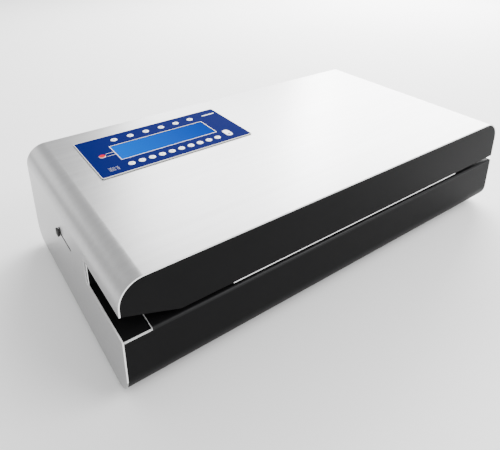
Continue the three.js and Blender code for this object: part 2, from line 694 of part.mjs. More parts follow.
function guideCarriage() {
  const x0 = ARM_X + ARM.t + GAP;
  return cut(
    block(x0, x0 + CARRIAGE[0], CARRIAGE_Y[0], CARRIAGE_Y[1], ROD_Z - CARRIAGE_DROP, KNOB_Z + ARM.above),
    alongY(disc(ROD_X, ROD_Z, ROD_R + BEARING_GAP), FRONT, BACK, 8),
  );
}

function adjusterKnob() {
  const head = LEFT - KNOB_PROUD;
  const half = KNOB / 2;
  const headEnd = LEFT - GAP;
  const stemEnd = ARM_X - GAP;
  const stem = { y: STEM / 2, z: SLIT_H / 2 - SLIDE_GAP };
  return joined(
    block(head, headEnd, KNOB_Y - half, KNOB_Y + half, KNOB_Z - half, KNOB_Z + half),
    block(headEnd - 1, stemEnd, KNOB_Y - stem.y, KNOB_Y + stem.y, KNOB_Z - stem.z, KNOB_Z + stem.z),
  );
}

// The bracket's two ears stand clear of the carriage at both ends of its travel.
function guideBracket() {
  const x = [ROD_X - BRACKET_W / 2, ROD_X + BRACKET_W / 2];
  const ears = ROD_Y.map((y) => block(x[0], x[1], y, y + EAR_T, FLOOR, ROD_Z + BRACKET_ABOVE));
  const strap = block(x[0], x[1], ROD_Y[0], ROD_Y[1] + EAR_T, FLOOR, FLOOR + 2);
  const hole = alongY(disc(ROD_X, ROD_Z, ROD_R + GAP), FRONT, BACK, 8);
  return cut(joined(strap, ...ears), hole);
}

function guideRod() {
  return alongY(disc(ROD_X, ROD_Z, ROD_R), ROD_Y[0] - ROD_PAST_EAR, ROD_Y[1] + EAR_T + ROD_PAST_EAR, 8);
}

add('edge_guide', edgeGuide(), bareMetal);
add('guide_carriage', guideCarriage(), blackPlastic);
add('adjuster_knob', adjusterKnob(), blackPlastic);
add('guide_rod', guideRod(), steel);
add('guide_bracket', guideBracket(), zinc);

// ---------------------------------------------------------------- keypad and display
function inPanel([a, b]) {
  return [PANEL_X + a, PANEL_Y + b];
}

function rowOf({ count, first, pitch }) {
  return Array.from({ length: count }, (_, i) => inPanel([first[0] + i * pitch, first[1]]));
}

function ovalOutline([x, y], grow) {
  const [a, b] = OVAL_KEY.map((size) => size / 2 + grow);
  return rounded(x - a, x + a, y - b, y + b, a - 0.01);
}

const lowerKeys = rowOf(LOWER_KEYS);
const upperKeys = rowOf(UPPER_KEYS);
const redKey = inPanel(RED_KEY_AT);
const ovalKey = inPanel(OVAL_KEY_AT);

function keypadPanel() {
  const [w, d] = PANEL;
  const outline = rounded(PANEL_X, PANEL_X + w, PANEL_Y, PANEL_Y + d, 2);
  for (const [x, y] of [...lowerKeys, ...upperKeys, redKey]) {
    outline.holes.push(new THREE.Path(disc(x, y, KEY_R + KEY_GAP).getPoints(8)));
  }
  outline.holes.push(new THREE.Path(ovalOutline(ovalKey, KEY_GAP).getPoints(5)));
  const [x, y] = inPanel(LCD_AT);
  const reach = { x: LCD[0] / 2 + GAP, y: LCD[1] / 2 + GAP };
  const glass = polygon([
    [x - reach.x, y - reach.y],
    [x + reach.x, y - reach.y],
    [x + reach.x, y + reach.y],
    [x - reach.x, y + reach.y],
  ]);
  outline.holes.push(new THREE.Path(glass.getPoints()));
  return alongZ(outline, PANEL_Z, PANEL_Z + PANEL_T, 4);
}

// The glass stands in the panel's window, and the module's body hangs below the housing's top.
function displayModule() {
  const [x, y] = inPanel(LCD_AT);
  const glass = { x: LCD[0] / 2, y: LCD[1] / 2 };
  const body = { x: glass.x + LCD_FRAME, y: glass.y + LCD_FRAME };
  const under = TOP - SHEET - GAP;
  return joined(
    block(x - glass.x, x + glass.x, y - glass.y, y + glass.y, under - 1, PANEL_Z + PANEL_T - LCD_SUNK),
    block(x - body.x, x + body.x, y - body.y, y + body.y, under - LCD_DEPTH, under),
  );
}

function keyCap([x, y]) {
  return alongZ(disc(x, y, KEY_R), KEY_TOP - KEY_T, KEY_TOP, 8);
}

add('keypad_panel', keypadPanel(), panelBlue);
add('display_module', displayModule(), displayBlue);
lowerKeys.forEach((at, i) => add(`key_digit_${i}`, keyCap(at), keyWhite));
upperKeys.forEach((at, i) => add(`key_menu_${i + 1}`, keyCap(at), keyWhite));
add('key_stop', keyCap(redKey), keyRed);
add('key_start', alongZ(ovalOutline(ovalKey, 0), KEY_TOP - KEY_T, KEY_TOP, 5), keyWhite);

// ---------------------------------------------------------------- mains inlet and switch
// The inlet is one moulded module: a socket below, a rocker switch above.
const INLET_FACE = BACK + INLET.proud;
const [INLET_X, INLET_Z] = inletCentre();
const SOCKET_Z = INLET_Z - INLET.h / 2 + SOCKET.above + SOCKET.h / 2;
const ROCKER_Z = INLET_Z + INLET.h / 2 - ROCKER.below - ROCKER.h / 2;
const ROCKER_PIVOT_Y = INLET_FACE - ROCKER.pivot;

// A block of width w and height h about (x, z), from y0 to y1.
function upright(x, z, w, h, y0, y1) {
  return block(x - w / 2, x + w / 2, y0, y1, z - h / 2, z + h / 2);
}

function mainsInlet() {
  const half = { w: INLET.w / 2 + INLET.lip, h: INLET.h / 2 + INLET.lip };
  const outline = rounded(INLET_X - half.w, INLET_X + half.w, INLET_Z - half.h, INLET_Z + half.h, INLET.lip);
  const flange = alongY(outline, BACK + GAP, INLET_FACE, 4);
  const body = upright(INLET_X, INLET_Z, INLET.w, INLET.h, INLET_FACE - INLET.depth, INLET_FACE);
  const socketEnd = INLET_FACE - SOCKET.depth;
  const socket = upright(INLET_X, SOCKET_Z, SOCKET.w, SOCKET.h, socketEnd, INLET_FACE + 1);
  const pocket = upright(
    INLET_X,
    ROCKER_Z,
    ROCKER.w + 2 * SLIDE_GAP,
    ROCKER.h + 2 * SLIDE_GAP,
    ROCKER_PIVOT_Y - ROCKER.depth - 2,
    INLET_FACE + 1,
  );
  const pins = PIN.at.map(([dx, dz]) =>
    upright(INLET_X + dx, SOCKET_Z + dz, PIN.w, PIN.h, socketEnd - 1, INLET_FACE - PIN.recess),
  );
  return joined(cut(joined(body, flange), socket, pocket), ...pins);
}

// Two facets that meet over the pivot; at rest the rocker is tipped to off.
function powerRocker() {
  const half = ROCKER.h / 2 - 0.25;
  const section = polygon([
    [2.6, 0],
    [1.5, half],
    [-ROCKER.depth + 2, half - 1.2],
    [-ROCKER.depth + 2, -half + 1.2],
    [1.5, -half],
  ]);
  const blank = alongX(section, -ROCKER.w / 2, ROCKER.w / 2);
  return blank.rotateX(THREE.MathUtils.degToRad(-ROCKER.tilt)).translate(INLET_X, ROCKER_PIVOT_Y, ROCKER_Z);
}

add('mains_inlet', mainsInlet(), blackPlastic);
add('power_rocker', powerRocker(), blackPlastic);

// ---------------------------------------------------------------- electronics
// What stands on the power supply's tray and on the board: [x0, x1, y0, y1, z0, z1] from the left front
// corner of the tray or the board.
const SUPPLY_PARTS = {
  transformer: [6, 52, 8, 72, 2, 40],
  capacitor: [62, 92, 12, 42, 2, 32],
  heatSink: [98, 136, 6, 74, 2, 24],
};
const BOARD_PARTS = {
  processor: [30, 58, 20, 48, 1, 5],
  connectors: [80, 130, 56, 66, 1, 14],
};

function standing(parts, x, y, z) {
  return Object.values(parts).map(([x0, x1, y0, y1, z0, z1]) =>
    block(x + x0, x + x1, y + y0, y + y1, z + z0, z + z1),
  );
}

function powerSupply() {
  const [w, d] = POWER.size;
  const x0 = RIGHT - POWER.fromRight - w;
  const y0 = BACK - POWER.fromBack - d;
  const tray = block(x0, x0 + w, y0, y0 + d, FLOOR, FLOOR + POWER.trayT);
  return joined(tray, ...standing(SUPPLY_PARTS, x0, y0, FLOOR));
}

function controlBoard() {
  const [w, d] = BOARD.size;
  const x0 = LEFT + BOARD.fromLeft;
  const y0 = BACK - BOARD.fromBack - d;
  const z0 = FLOOR + BOARD.above;
  const near = BOARD.postInset;
  const far = BOARD.postInset + BOARD.post;
  const posts = [];
  for (const px of [x0 + near, x0 + w - far]) {
    for (const py of [y0 + near, y0 + d - far]) {
      posts.push(block(px, px + BOARD.post, py, py + BOARD.post, FLOOR, z0 + 0.5));
    }
  }
  const board = block(x0, x0 + w, y0, y0 + d, z0, z0 + BOARD.t);
  return joined(board, ...standing(BOARD_PARTS, x0, y0, z0), ...posts);
}

add('power_supply', powerSupply(), zinc);
add('control_board', controlBoard(), boardGreen);

export default sealer;
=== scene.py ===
"""A bench-top continuous heat sealer: bent silver housing, black front covers, keypad and drive.

It is laid out as an add-on. Sizes and finishes are properties, each group of pieces has its own
operator, and one panel lists them. Lengths are in metres, +Z is up and the front faces -Y.
"""
import math

import bmesh
import bpy
from mathutils import Matrix, Vector


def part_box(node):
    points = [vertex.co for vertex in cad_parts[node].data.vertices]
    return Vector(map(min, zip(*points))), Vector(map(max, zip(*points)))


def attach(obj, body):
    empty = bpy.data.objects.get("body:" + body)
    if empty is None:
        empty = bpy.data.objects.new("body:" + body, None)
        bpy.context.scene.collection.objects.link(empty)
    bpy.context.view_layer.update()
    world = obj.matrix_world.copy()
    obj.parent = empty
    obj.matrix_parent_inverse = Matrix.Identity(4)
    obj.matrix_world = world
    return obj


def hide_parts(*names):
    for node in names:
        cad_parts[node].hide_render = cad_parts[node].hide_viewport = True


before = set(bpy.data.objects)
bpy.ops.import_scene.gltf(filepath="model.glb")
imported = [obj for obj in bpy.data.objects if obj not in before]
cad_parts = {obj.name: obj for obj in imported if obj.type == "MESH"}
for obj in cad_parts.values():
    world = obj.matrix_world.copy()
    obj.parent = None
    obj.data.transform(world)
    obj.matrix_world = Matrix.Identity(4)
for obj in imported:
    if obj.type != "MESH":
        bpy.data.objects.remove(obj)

bl_info = {
    "name": "Continuous Heat Sealer",
    "version": (1, 0, 0),
    "blender": (4, 5, 0),
    "location": "View3D > Sidebar > Heat Sealer",
    "description": "Builds a bench-top heat sealer around its packed frame",
    "category": "Add Mesh",
}

MM = 0.001
PAST = 1 * MM           # how far one solid reaches past or into another
HAIR = 0.01 * MM        # keeps two faces out of one plane
STEM_HALF = 2.5 * MM    # half the knob's stem, along its slit
CASE_LO, CASE_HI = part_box("housing_shell")
TABLE_LO, TABLE_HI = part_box("feed_table")
COVER_LO, COVER_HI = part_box("upper_front_cover")
LOWER_LO, LOWER_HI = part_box("lower_front_cover")
FLOOR_LO, FLOOR_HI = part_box("entry_floor")
GUIDE_LO, GUIDE_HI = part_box("edge_guide")
KNOB_LO, KNOB_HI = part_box("adjuster_knob")
REAR_LO, REAR_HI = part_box("rear_panel")
TRAY_LO, TRAY_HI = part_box("base_tray")
PANEL_LO, PANEL_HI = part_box("keypad_panel")
INLET_LO, INLET_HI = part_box("mains_inlet")
MOUTH_TOP = GUIDE_HI.z + 1 * MM


def middle(node):
    """Centre of a node's box."""
    low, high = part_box(node)
    return (low + high) / 2


# ---------------------------------------------------------------- what a user would change
def length_property(name, description, millimetres):
    """A length, stated in millimetres."""
    return bpy.props.FloatProperty(
        name=name, description=description, default=millimetres * MM, min=0, unit="LENGTH"
    )


def colour_property(name, description, default):
    """A colour that shows as a swatch, in linear values."""
    return bpy.props.FloatVectorProperty(
        name=name, description=description, default=default, subtype="COLOR", size=3, min=0, max=1
    )


def power_property(name, description, watts):
    """The power of a light."""
    return bpy.props.FloatProperty(
        name=name, description=description, default=watts, min=0, unit="POWER"
    )


class SealerSizes(bpy.types.PropertyGroup):
    """Sizes that the frame doesn't state."""

    sheet: length_property("Sheet", "Wall of the housing, base and rear panel", 1.5)
    cover_wall: length_property("Cover wall", "Wall of the black covers", 2.5)
    top_bend: length_property("Top bend", "Outside radius of the housing's top bends", 25)
    front_bend: length_property("Front bend", "Outside radius of the front bottom corner", 27)
    rear_bend: length_property("Rear bend", "Outside radius of the rear bottom corner", 20)
    table_lip: length_property("Table lip", "Radius of the table's front edge", 3)
    flange: length_property("Cover flange", "Depth of the upper cover's bottom flange", 16)
    lip_depth: length_property("Lip depth", "Depth of the lower cover's top flange", 9)
    funnel: length_property("Funnel", "Width of the funnel at the left end", 57)
    mouth_depth: length_property("Mouth depth", "Depth of the slot in the sides", 90.6)
    edge_round: length_property("Edge round", "Rounding of cut edges", 0.3)
    slide_gap: length_property("Slide gap", "Between pieces that move past each other", 0.5)
    slit: length_property("Slit", "Height of the adjuster's slit", 2.8)
    guide_travel: length_property("Guide travel", "How far the edge guide slides", 38)
    guide_sheet: length_property("Guide sheet", "Thickness of the edge guide's plate and arm", 3)
    screw_head: length_property("Screw head", "Radius of the screws' heads", 2.8)
    vent_pitch: length_property("Vent pitch", "From one vent slot to the next", 8)
    vents: bpy.props.IntProperty(name="Vents", description="Number of vent slots", default=16, min=1)
    bend_steps: bpy.props.IntProperty(
        name="Bend steps", description="Flats in a quarter turn of a bend", default=24, min=6
    )


class SealerFinishes(bpy.types.PropertyGroup):
    """Colours of the machine's finishes."""

    silver: colour_property("Silver", "Satin sheet of the housing", (0.35, 0.35, 0.353))
    bare: colour_property("Bare metal", "Cut edges, strip and edge guide", (0.88, 0.88, 0.88))
    black: colour_property("Black coat", "Powder coat of the front covers", (0.006, 0.006, 0.0063))
    # The lip colour is lighter than the black coat: a painted highlight on the lower cover's curl.
    lip: colour_property("Lip highlight", "Coat on the table's polished front edge", (0.010, 0.010, 0.0105))
    zinc: colour_property("Zinc", "Plated sheet of the base and brackets", (0.52, 0.54, 0.55))
    cast: colour_property("Aluminium", "Machined plates and heater blocks", (0.66, 0.67, 0.68))
    steel: colour_property("Steel", "Turned rollers and shafts", (0.55, 0.56, 0.57))
    rubber: colour_property("Rubber", "Feet", (0.018, 0.018, 0.019))
    plastic: colour_property("Black plastic", "Inlet, rocker and knob", (0.022, 0.022, 0.024))
    ivory: colour_property("Gear plastic", "Drive gears", (0.80, 0.76, 0.66))
    belt: colour_property("Belt", "Coated transport belts", (0.30, 0.16, 0.08))
    film: colour_property("Keypad film", "Blue of the keypad", (0.0018, 0.0062, 0.080))
    cream: colour_property("Keypad border", "Pale print on the keypad", (0.78, 0.78, 0.74))
    glow_left: colour_property("Display left", "Display's lighter end", (0.0, 0.18, 1.0))
    glow_right: colour_property("Display right", "Display's deeper end", (0.015, 0.07, 0.52))
    key: colour_property("Key", "White keys", (0.86, 0.87, 0.88))
    stop: colour_property("Stop key", "Red dot of the stop key", (0.48, 0.003, 0.012))
    ink: colour_property("Ink", "Digits and marks on the keys", (0.01, 0.02, 0.06))
    board: colour_property("Board", "Circuit board", (0.02, 0.16, 0.07))
    motor: colour_property("Motor", "Painted motor can", (0.05, 0.055, 0.06))
    floor: colour_property("Floor", "Studio floor", (0.93, 0.93, 0.93))


class SealerStage(bpy.types.PropertyGroup):
    """Camera and lights."""

    camera_at: bpy.props.FloatVectorProperty(
        name="Camera",
        description="Where the camera stands",
        default=(-0.3755, -0.469, 0.422),
        subtype="XYZ",
        unit="LENGTH",
        size=3,
    )
    camera_yaw: bpy.props.FloatProperty(
        name="Yaw",
        description="Turn of the view to the right",
        default=math.radians(35.56),
        subtype="ANGLE",
    )
    camera_pitch: bpy.props.FloatProperty(
        name="Pitch", description="Tilt of the view downwards", default=math.radians(22.25), subtype="ANGLE"
    )
    lens: bpy.props.FloatProperty(name="Lens", description="Focal length in mm", default=36.1, min=1)
    shift: bpy.props.FloatProperty(
        name="Shift", description="Vertical shift of the frame", default=-0.24
    )
    sky: bpy.props.FloatProperty(
        name="Sky", description="Strength of the even light", default=1.25, min=0
    )
    right_light: power_property("Right light", "Softbox behind the right end", 103)
    rear_light: power_property("Rear light", "Softbox behind the machine", 45)
    front_light: power_property("Front light", "Softbox before the machine", 45)
    left_light: power_property("Left light", "Softbox behind the left end", 3)


def sizes():
    return bpy.context.scene.sealer_sizes


def finishes():
    return bpy.context.scene.sealer_finishes


# ---------------------------------------------------------------- outlines
def arc(a, b, radius, start, end, steps):
    """Points of an arc from angle start to end, in degrees."""
    turn = [math.radians(start + (end - start) * i / steps) for i in range(steps + 1)]
    return [(a + radius * math.cos(t), b + radius * math.sin(t)) for t in turn]


def rectangle(a0, a1, b0, b1):
    return [(a0, b0), (a1, b0), (a1, b1), (a0, b1)]


def rounded(a0, a1, b0, b1, radius, steps=8):
    """A rectangle with round corners."""
    return (
        arc(a0 + radius, b0 + radius, radius, 180, 270, steps)
        + arc(a1 - radius, b0 + radius, radius, 270, 360, steps)
        + arc(a1 - radius, b1 - radius, radius, 0, 90, steps)
        + arc(a0 + radius, b1 - radius, radius, 90, 180, steps)
    )


def circle(a, b, radius, steps=48):
    return arc(a, b, radius, 0, 360, steps)[:-1]


# ---------------------------------------------------------------- meshes
def in_scene(name, data):
    """A new object in the scene."""
    made = bpy.data.objects.new(name, data)
    bpy.context.scene.collection.objects.link(made)
    return made


PLACES = {
    "X": lambda a, b, c: (c, a, b),
    "Y": lambda a, b, c: (a, c, b),
    "Z": lambda a, b, c: (a, b, c),
}


def object_of(name, bm):
    """The bmesh as an object, welded and with its faces turned outwards."""
    bmesh.ops.remove_doubles(bm, verts=bm.verts, dist=1e-7)
    bmesh.ops.recalc_face_normals(bm, faces=bm.faces)
    mesh = bpy.data.meshes.new(name)
    bm.to_mesh(mesh)
    bm.free()
    return in_scene(name, mesh)


def prism(outline, axis, start, end):
    """A solid of one outline: (y, z) along X, (x, z) along Y or (x, y) along Z."""
    place = PLACES[axis]
    bm = bmesh.new()
    near = [bm.verts.new(place(a, b, start)) for a, b in outline]
    far = [bm.verts.new(place(a, b, end)) for a, b in outline]
    bm.faces.new(near)
    bm.faces.new(far)
    for i in range(len(outline)):
        j = (i + 1) % len(outline)
        bm.faces.new((near[i], near[j], far[j], far[i]))
    return object_of("prism", bm)


def block(x0, x1, y0, y1, z0, z1):
    return prism(rectangle(x0, x1, y0, y1), "Z", z0, z1)


def between(low, high):
    """A block between two corners."""
    return block(low.x, high.x, low.y, high.y, low.z, high.z)


def slab(at, half, start, end, radius=0):
    """An upright slab that faces along Y; half is its half width and half height."""
    sides = (at.x - half[0], at.x + half[0], at.z - half[1], at.z + half[1])
    outline = rounded(*sides, radius) if radius else rectangle(*sides)
    return prism(outline, "Y", start, end)


def around(low, high, by, radius=0, steps=8):
    """The outline of a box seen from above, with a margin round it."""
    sides = (low.x - by, high.x + by, low.y - by, high.y + by)
    return rounded(*sides, radius, steps) if radius else rectangle(*sides)


def lathe(profile, axis, centre, steps=48):
    """A turned solid: profile points are (radius, height) from the axis' foot to its end."""
    place = PLACES[axis]
    bm = bmesh.new()
    rings = []
    for radius, height in profile:
        count = 1 if radius == 0 else steps
        ring = []
        for i in range(count):
            t = 2 * math.pi * i / steps
            point = Vector(place(radius * math.cos(t), radius * math.sin(t), height))
            ring.append(bm.verts.new(point + Vector(centre)))
        rings.append(ring)
    for low, high in zip(rings, rings[1:]):
        for i in range(steps):
            j = (i + 1) % steps
            corners = [low[i % len(low)], low[j % len(low)], high[j % len(high)], high[i % len(high)]]
            bm.faces.new(list(dict.fromkeys(corners)))
    return object_of("lathe", bm)


def evaluated_mesh(obj):
    depsgraph = bpy.context.evaluated_depsgraph_get()
    return bpy.data.meshes.new_from_object(obj.evaluated_get(depsgraph))


def bake(obj):
    """Makes the object's modifiers part of its mesh."""
    mesh = evaluated_mesh(obj)
    obj.modifiers.clear()
    obj.data = mesh
    return obj


def together(objects):
    """Several objects' meshes in one object, with no boolean."""
    bm = bmesh.new()
    for obj in objects:
        bm.from_mesh(obj.data)
        bpy.data.objects.remove(obj)
    return object_of("together", bm)


def boolean(obj, tools, operation):
    for tool in tools:
        step = obj.modifiers.new("boolean", "BOOLEAN")
        step.operation = operation
        step.solver = "EXACT"
        step.object = tool
    bake(obj)
    if not obj.data.polygons:
        raise RuntimeError(f"{operation} left nothing of {obj.name}")
    for tool in tools:
        bpy.data.objects.remove(tool)
    return obj


def cut(obj, *tools):
    return boolean(obj, tools, "DIFFERENCE")


def common(obj, *tools):
    return boolean(obj, tools, "INTERSECT")


def union(obj, *tools):
    return boolean(obj, tools, "UNION")


def soften(obj, width, steps=2):
    """Rounds the sharp edges."""
    bevel = obj.modifiers.new("bevel", "BEVEL")
    bevel.width = width
    bevel.segments = steps
    bevel.limit_method = "ANGLE"
    bevel.angle_limit = math.radians(28)
    return bake(obj)


def paint(obj, index, test):
    """Gives the faces for which test(centre, normal) holds the material of that index."""
    for face in obj.data.polygons:
        if test(face.center, face.normal):
            face.material_index = index


def piece(name, parts, body, stands_for=()):
    """Joins (object, its materials) parts into one finished piece that rides on a body."""
    bm = bmesh.new()
    materials = []
    for obj, own in parts:
        own = own if isinstance(own, (list, tuple)) else [own]
        first = len(bm.faces)
        bm.from_mesh(obj.data)
        bm.faces.ensure_lookup_table()
        for face in bm.faces[first:]:
            face.material_index = min(face.material_index, len(own) - 1) + len(materials)
            face.smooth = True
        materials += own
        bpy.data.objects.remove(obj)
    mesh = bpy.data.meshes.new(name)
    bm.to_mesh(mesh)
    bm.free()
    for material in materials:
        mesh.materials.append(material)
    made = in_scene(name, mesh)
    shading = made.modifiers.new("shading", "WEIGHTED_NORMAL")
    shading.weight = 100
    bake(made)
    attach(made, body)
    if stands_for:
        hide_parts(*stands_for)
    return made


# ---------------------------------------------------------------- finishes
def add_node(tree, kind, inputs, **settings):
    """A node with values or links on its inputs; a list goes to an input that joins several."""
    made = tree.nodes.new(kind)
    for name, value in settings.items():
        setattr(made, name, value)
    for name, value in inputs.items():
        for item in value if isinstance(value, list) else [value]:
            if isinstance(item, bpy.types.NodeSocket):
                tree.links.new(item, made.inputs[name])
            else:
                made.inputs[name].default_value = item
    return made


class Finish:
    """A material under construction: its shader and the nodes that feed it."""

    def __init__(self, name, colour, roughness, metallic=0.0):
        self.material = bpy.data.materials.new(name)
        self.material.use_nodes = True
        self.tree = self.material.node_tree
        self.shader = self.tree.nodes["Principled BSDF"]
        self.colour = tuple(colour)
        self.set("Base Color", (*self.colour, 1))
        self.set("Roughness", roughness)
        self.set("Metallic", metallic)
        self.material.diffuse_color = (*self.colour, 1)

    def set(self, name, value):
        """A constant or another node's output on the shader's socket."""
        socket = self.shader.inputs[name]
        if isinstance(value, bpy.types.NodeSocket):
            self.tree.links.new(value, socket)
        else:
            socket.default_value = value

    def node(self, kind, inputs, **settings):
        return add_node(self.tree, kind, inputs, **settings)

    def place(self, scale=(1, 1, 1)):
        """Object coordinates, scaled."""
        here = self.node("ShaderNodeTexCoord", {}).outputs["Object"]
        return self.node("ShaderNodeMapping", {"Vector": here, "Scale": scale}).outputs["Vector"]

    def noise(self, vector, scale, detail):
        inputs = {"Vector": vector, "Scale": scale, "Detail": detail}
        return self.node("ShaderNodeTexNoise", inputs).outputs["Fac"]

    def spread(self, value, low, high, start=0.3, end=0.7):
        """Maps a noise's middle band on to low to high."""
        span = {"Value": value, "From Min": start, "From Max": end, "To Min": low, "To Max": high}
        return self.node("ShaderNodeMapRange", span).outputs["Result"]

    def blend(self, factor, first, second):
        inputs = {"Factor": factor, 6: (*first, 1), 7: (*second, 1)}
        return self.node("ShaderNodeMix", inputs, data_type="RGBA").outputs[2]

    def vary(self, factor, share):
        """The finish's colour, darker and lighter by a share."""
        darker = tuple(c * (1 - share) for c in self.colour)
        lighter = tuple(min(1, c * (1 + share)) for c in self.colour)
        self.set("Base Color", self.blend(factor, darker, lighter))

    def bump(self, height, strength, distance):
        made = self.node("ShaderNodeBump", {"Height": height, "Strength": strength, "Distance": distance})
        self.set("Normal", made.outputs["Normal"])


def brushed_silver():
    """Satin sheet: fine lines and broader streaks along X."""
    f = Finish("brushed_silver", finishes().silver, 0.32, 1.0)
    lines = f.noise(f.place((5, 1100, 1100)), 1.0, 4)
    streaks = f.noise(f.place((3, 170, 170)), 1.0, 3)
    tone = f.node("ShaderNodeMath", {0: lines, 1: streaks}, operation="ADD").outputs[0]
    f.vary(f.spread(tone, 0, 1, 0.75, 1.25), 0.05)
    f.set("Roughness", f.spread(lines, 0.28, 0.37))
    f.bump(lines, 0.06, 0.05 * MM)
    return f.material


def cut_edge():
    """Bare metal where a sheet was cut."""
    f = Finish("cut_edge", finishes().bare, 0.45, 0.3)
    marks = f.noise(f.place((900, 900, 250)), 1.0, 2)
    f.vary(marks, 0.05)
    f.set("Roughness", f.spread(marks, 0.4, 0.5))
    f.bump(marks, 0.04, 0.05 * MM)
    return f.material


def black_coat():
    """Satin powder coat with a fine pebbled skin."""
    f = Finish("black_coat", finishes().black, 0.46)
    pebbles = f.noise(f.place(), 1500, 2)
    f.vary(f.noise(f.place(), 25, 3), 0.10)
    f.set("Roughness", f.spread(pebbles, 0.41, 0.52))
    f.set("Specular IOR Level", 0.04)
    f.bump(pebbles, 0.12, 0.06 * MM)
    return f.material


def lip_painted_highlight():
    """The same coat where pouches have polished it smoother; its lighter colour is a painted highlight along
    the lower cover's curl.
    """
    f = Finish("lip_painted_highlight", finishes().lip, 0.3)
    highlight_streaks = f.noise(f.place((30, 400, 400)), 1.0, 3)
    f.vary(highlight_streaks, 0.25)
    f.set("Roughness", f.spread(highlight_streaks, 0.26, 0.40))
    f.set("Specular IOR Level", 0.12)
    f.bump(f.noise(f.place(), 1500, 2), 0.06, 0.05 * MM)
    return f.material


def zinc_plate():
    """Plated sheet with faint spangles."""
    f = Finish("zinc_plate", finishes().zinc, 0.45, 0.9)
    spangles = f.node("ShaderNodeTexVoronoi", {"Vector": f.place(), "Scale": 160}).outputs["Color"]
    grey = f.node("ShaderNodeRGBToBW", {"Color": spangles}).outputs["Val"]
    f.vary(grey, 0.09)
    f.set("Roughness", f.spread(grey, 0.38, 0.55, 0, 1))
    f.bump(f.noise(f.place(), 400, 3), 0.05, 0.1 * MM)
    return f.material


def machined_aluminium():
    """Milled plate with fine tool lines."""
    f = Finish("machined_aluminium", finishes().cast, 0.4, 1.0)
    lines = f.noise(f.place((40, 40, 1500)), 1.0, 2)
    f.vary(lines, 0.06)
    f.set("Roughness", f.spread(lines, 0.32, 0.48))
    f.bump(lines, 0.1, 0.08 * MM)
    return f.material


def turned_steel():
    """Steel turned about Y, with fine rings."""
    f = Finish("turned_steel", finishes().steel, 0.3, 1.0)
    rings = f.noise(f.place((30, 2500, 30)), 1.0, 2)
    f.vary(rings, 0.08)
    f.set("Roughness", f.spread(rings, 0.22, 0.36))
    f.bump(rings, 0.12, 0.05 * MM)
    return f.material


def moulded(name, colour, roughness, grain, shine=0.5):
    """Moulded plastic or rubber with a fine grain of that many bumps per metre."""
    f = Finish(name, colour, roughness)
    f.set("Specular IOR Level", shine)
    skin = f.noise(f.place(), grain, 3)
    f.vary(f.noise(f.place(), 60, 3), 0.07)
    f.set("Roughness", f.spread(skin, roughness - 0.05, roughness + 0.08))
    f.bump(skin, 0.18, 0.08 * MM)
    return f.material


def black_rubber():
    return moulded("black_rubber", finishes().rubber, 0.8, 900)


def black_plastic():
    return moulded("black_plastic", finishes().plastic, 0.5, 1400, 0.12)


def gear_plastic():
    return moulded("gear_plastic", finishes().ivory, 0.5, 700)


def key_plastic():
    return moulded("key_plastic", finishes().key, 0.38, 2500)


def stop_plastic():
    return moulded("stop_plastic", finishes().stop, 0.38, 2500, 0.01)


def motor_paint():
    return moulded("motor_paint", finishes().motor, 0.45, 1200)


def belt_coat():
    """Woven belt under its coating."""
    f = Finish("belt_coat", finishes().belt, 0.6)
    threads = {"Vector": f.place(), "Scale": 420}
    warp = f.node("ShaderNodeTexWave", threads, bands_direction="X").outputs["Fac"]
    weft = f.node("ShaderNodeTexWave", threads, bands_direction="Y").outputs["Fac"]
    weave = f.node("ShaderNodeMath", {0: warp, 1: weft}, operation="MULTIPLY").outputs[0]
    f.vary(weave, 0.18)
    f.set("Roughness", f.spread(weave, 0.5, 0.7, 0, 1))
    f.bump(weave, 0.2, 0.1 * MM)
    return f.material


def keypad_film():
    """Blue polyester film with a fine satin grain."""
    f = Finish("keypad_film", finishes().film, 0.4)
    f.set("Specular IOR Level", 0.003)
    grain = f.noise(f.place(), 2600, 2)
    f.vary(f.noise(f.place(), 30, 2), 0.06)
    f.set("Roughness", f.spread(grain, 0.35, 0.45))
    f.bump(grain, 0.06, 0.04 * MM)
    return f.material


def pale_print():
    f = Finish("pale_print", finishes().cream, 0.4)
    speckle = f.noise(f.place(), 1800, 2)
    f.vary(speckle, 0.03)
    f.set("Roughness", f.spread(speckle, 0.36, 0.46))
    return f.material


def dark_ink():
    f = Finish("dark_ink", finishes().ink, 0.45)
    f.set("Specular IOR Level", 0.02)
    speckle = f.noise(f.place(), 2400, 2)
    f.vary(speckle, 0.2)
    f.set("Roughness", f.spread(speckle, 0.4, 0.55))
    return f.material


def display_glow():
    """Backlit display: lighter at its left end, with a faint grid of cells."""
    f = Finish("display_glow", (0.0, 0.003, 0.012), 0.3)
    f.set("Specular IOR Level", 0.0)
    low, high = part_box("display_module")
    across = f.node("ShaderNodeSeparateXYZ", {"Vector": f.place()}).outputs["X"]
    share = f.spread(across, 0, 1, low.x, high.x)
    colour = f.blend(share, finishes().glow_left, finishes().glow_right)
    grid = {"Vector": f.place(), "Scale": 700, "Mortar Size": 0.06, "Mortar": (0.8, 0.8, 0.8, 1)}
    shades = {"Color1": (1, 1, 1, 1), "Color2": (0.97, 0.97, 0.97, 1)}
    cells = f.node("ShaderNodeTexBrick", grid | shades, offset=0)
    lit = {"Factor": 0.5, 6: colour, 7: cells.outputs["Color"]}
    lit = f.node("ShaderNodeMix", lit, data_type="RGBA", blend_type="MULTIPLY")
    f.set("Emission Color", lit.outputs[2])
    f.set("Emission Strength", 1.15)
    return f.material


def circuit_board():
    """Green board with a hint of its tracks."""
    f = Finish("circuit_board", finishes().board, 0.4)
    lanes = {"Vector": f.place(), "Scale": 220, "Mortar Size": 0.05}
    tracks = f.node("ShaderNodeTexBrick", lanes).outputs["Fac"]
    f.vary(tracks, 0.3)
    f.set("Roughness", f.spread(f.noise(f.place(), 500, 2), 0.3, 0.5))
    f.bump(tracks, 0.2, 0.05 * MM)
    return f.material


def studio_floor():
    f = Finish("studio_floor", finishes().floor, 0.75)
    f.vary(f.noise(f.place(), 3, 2), 0.01)
    return f.material


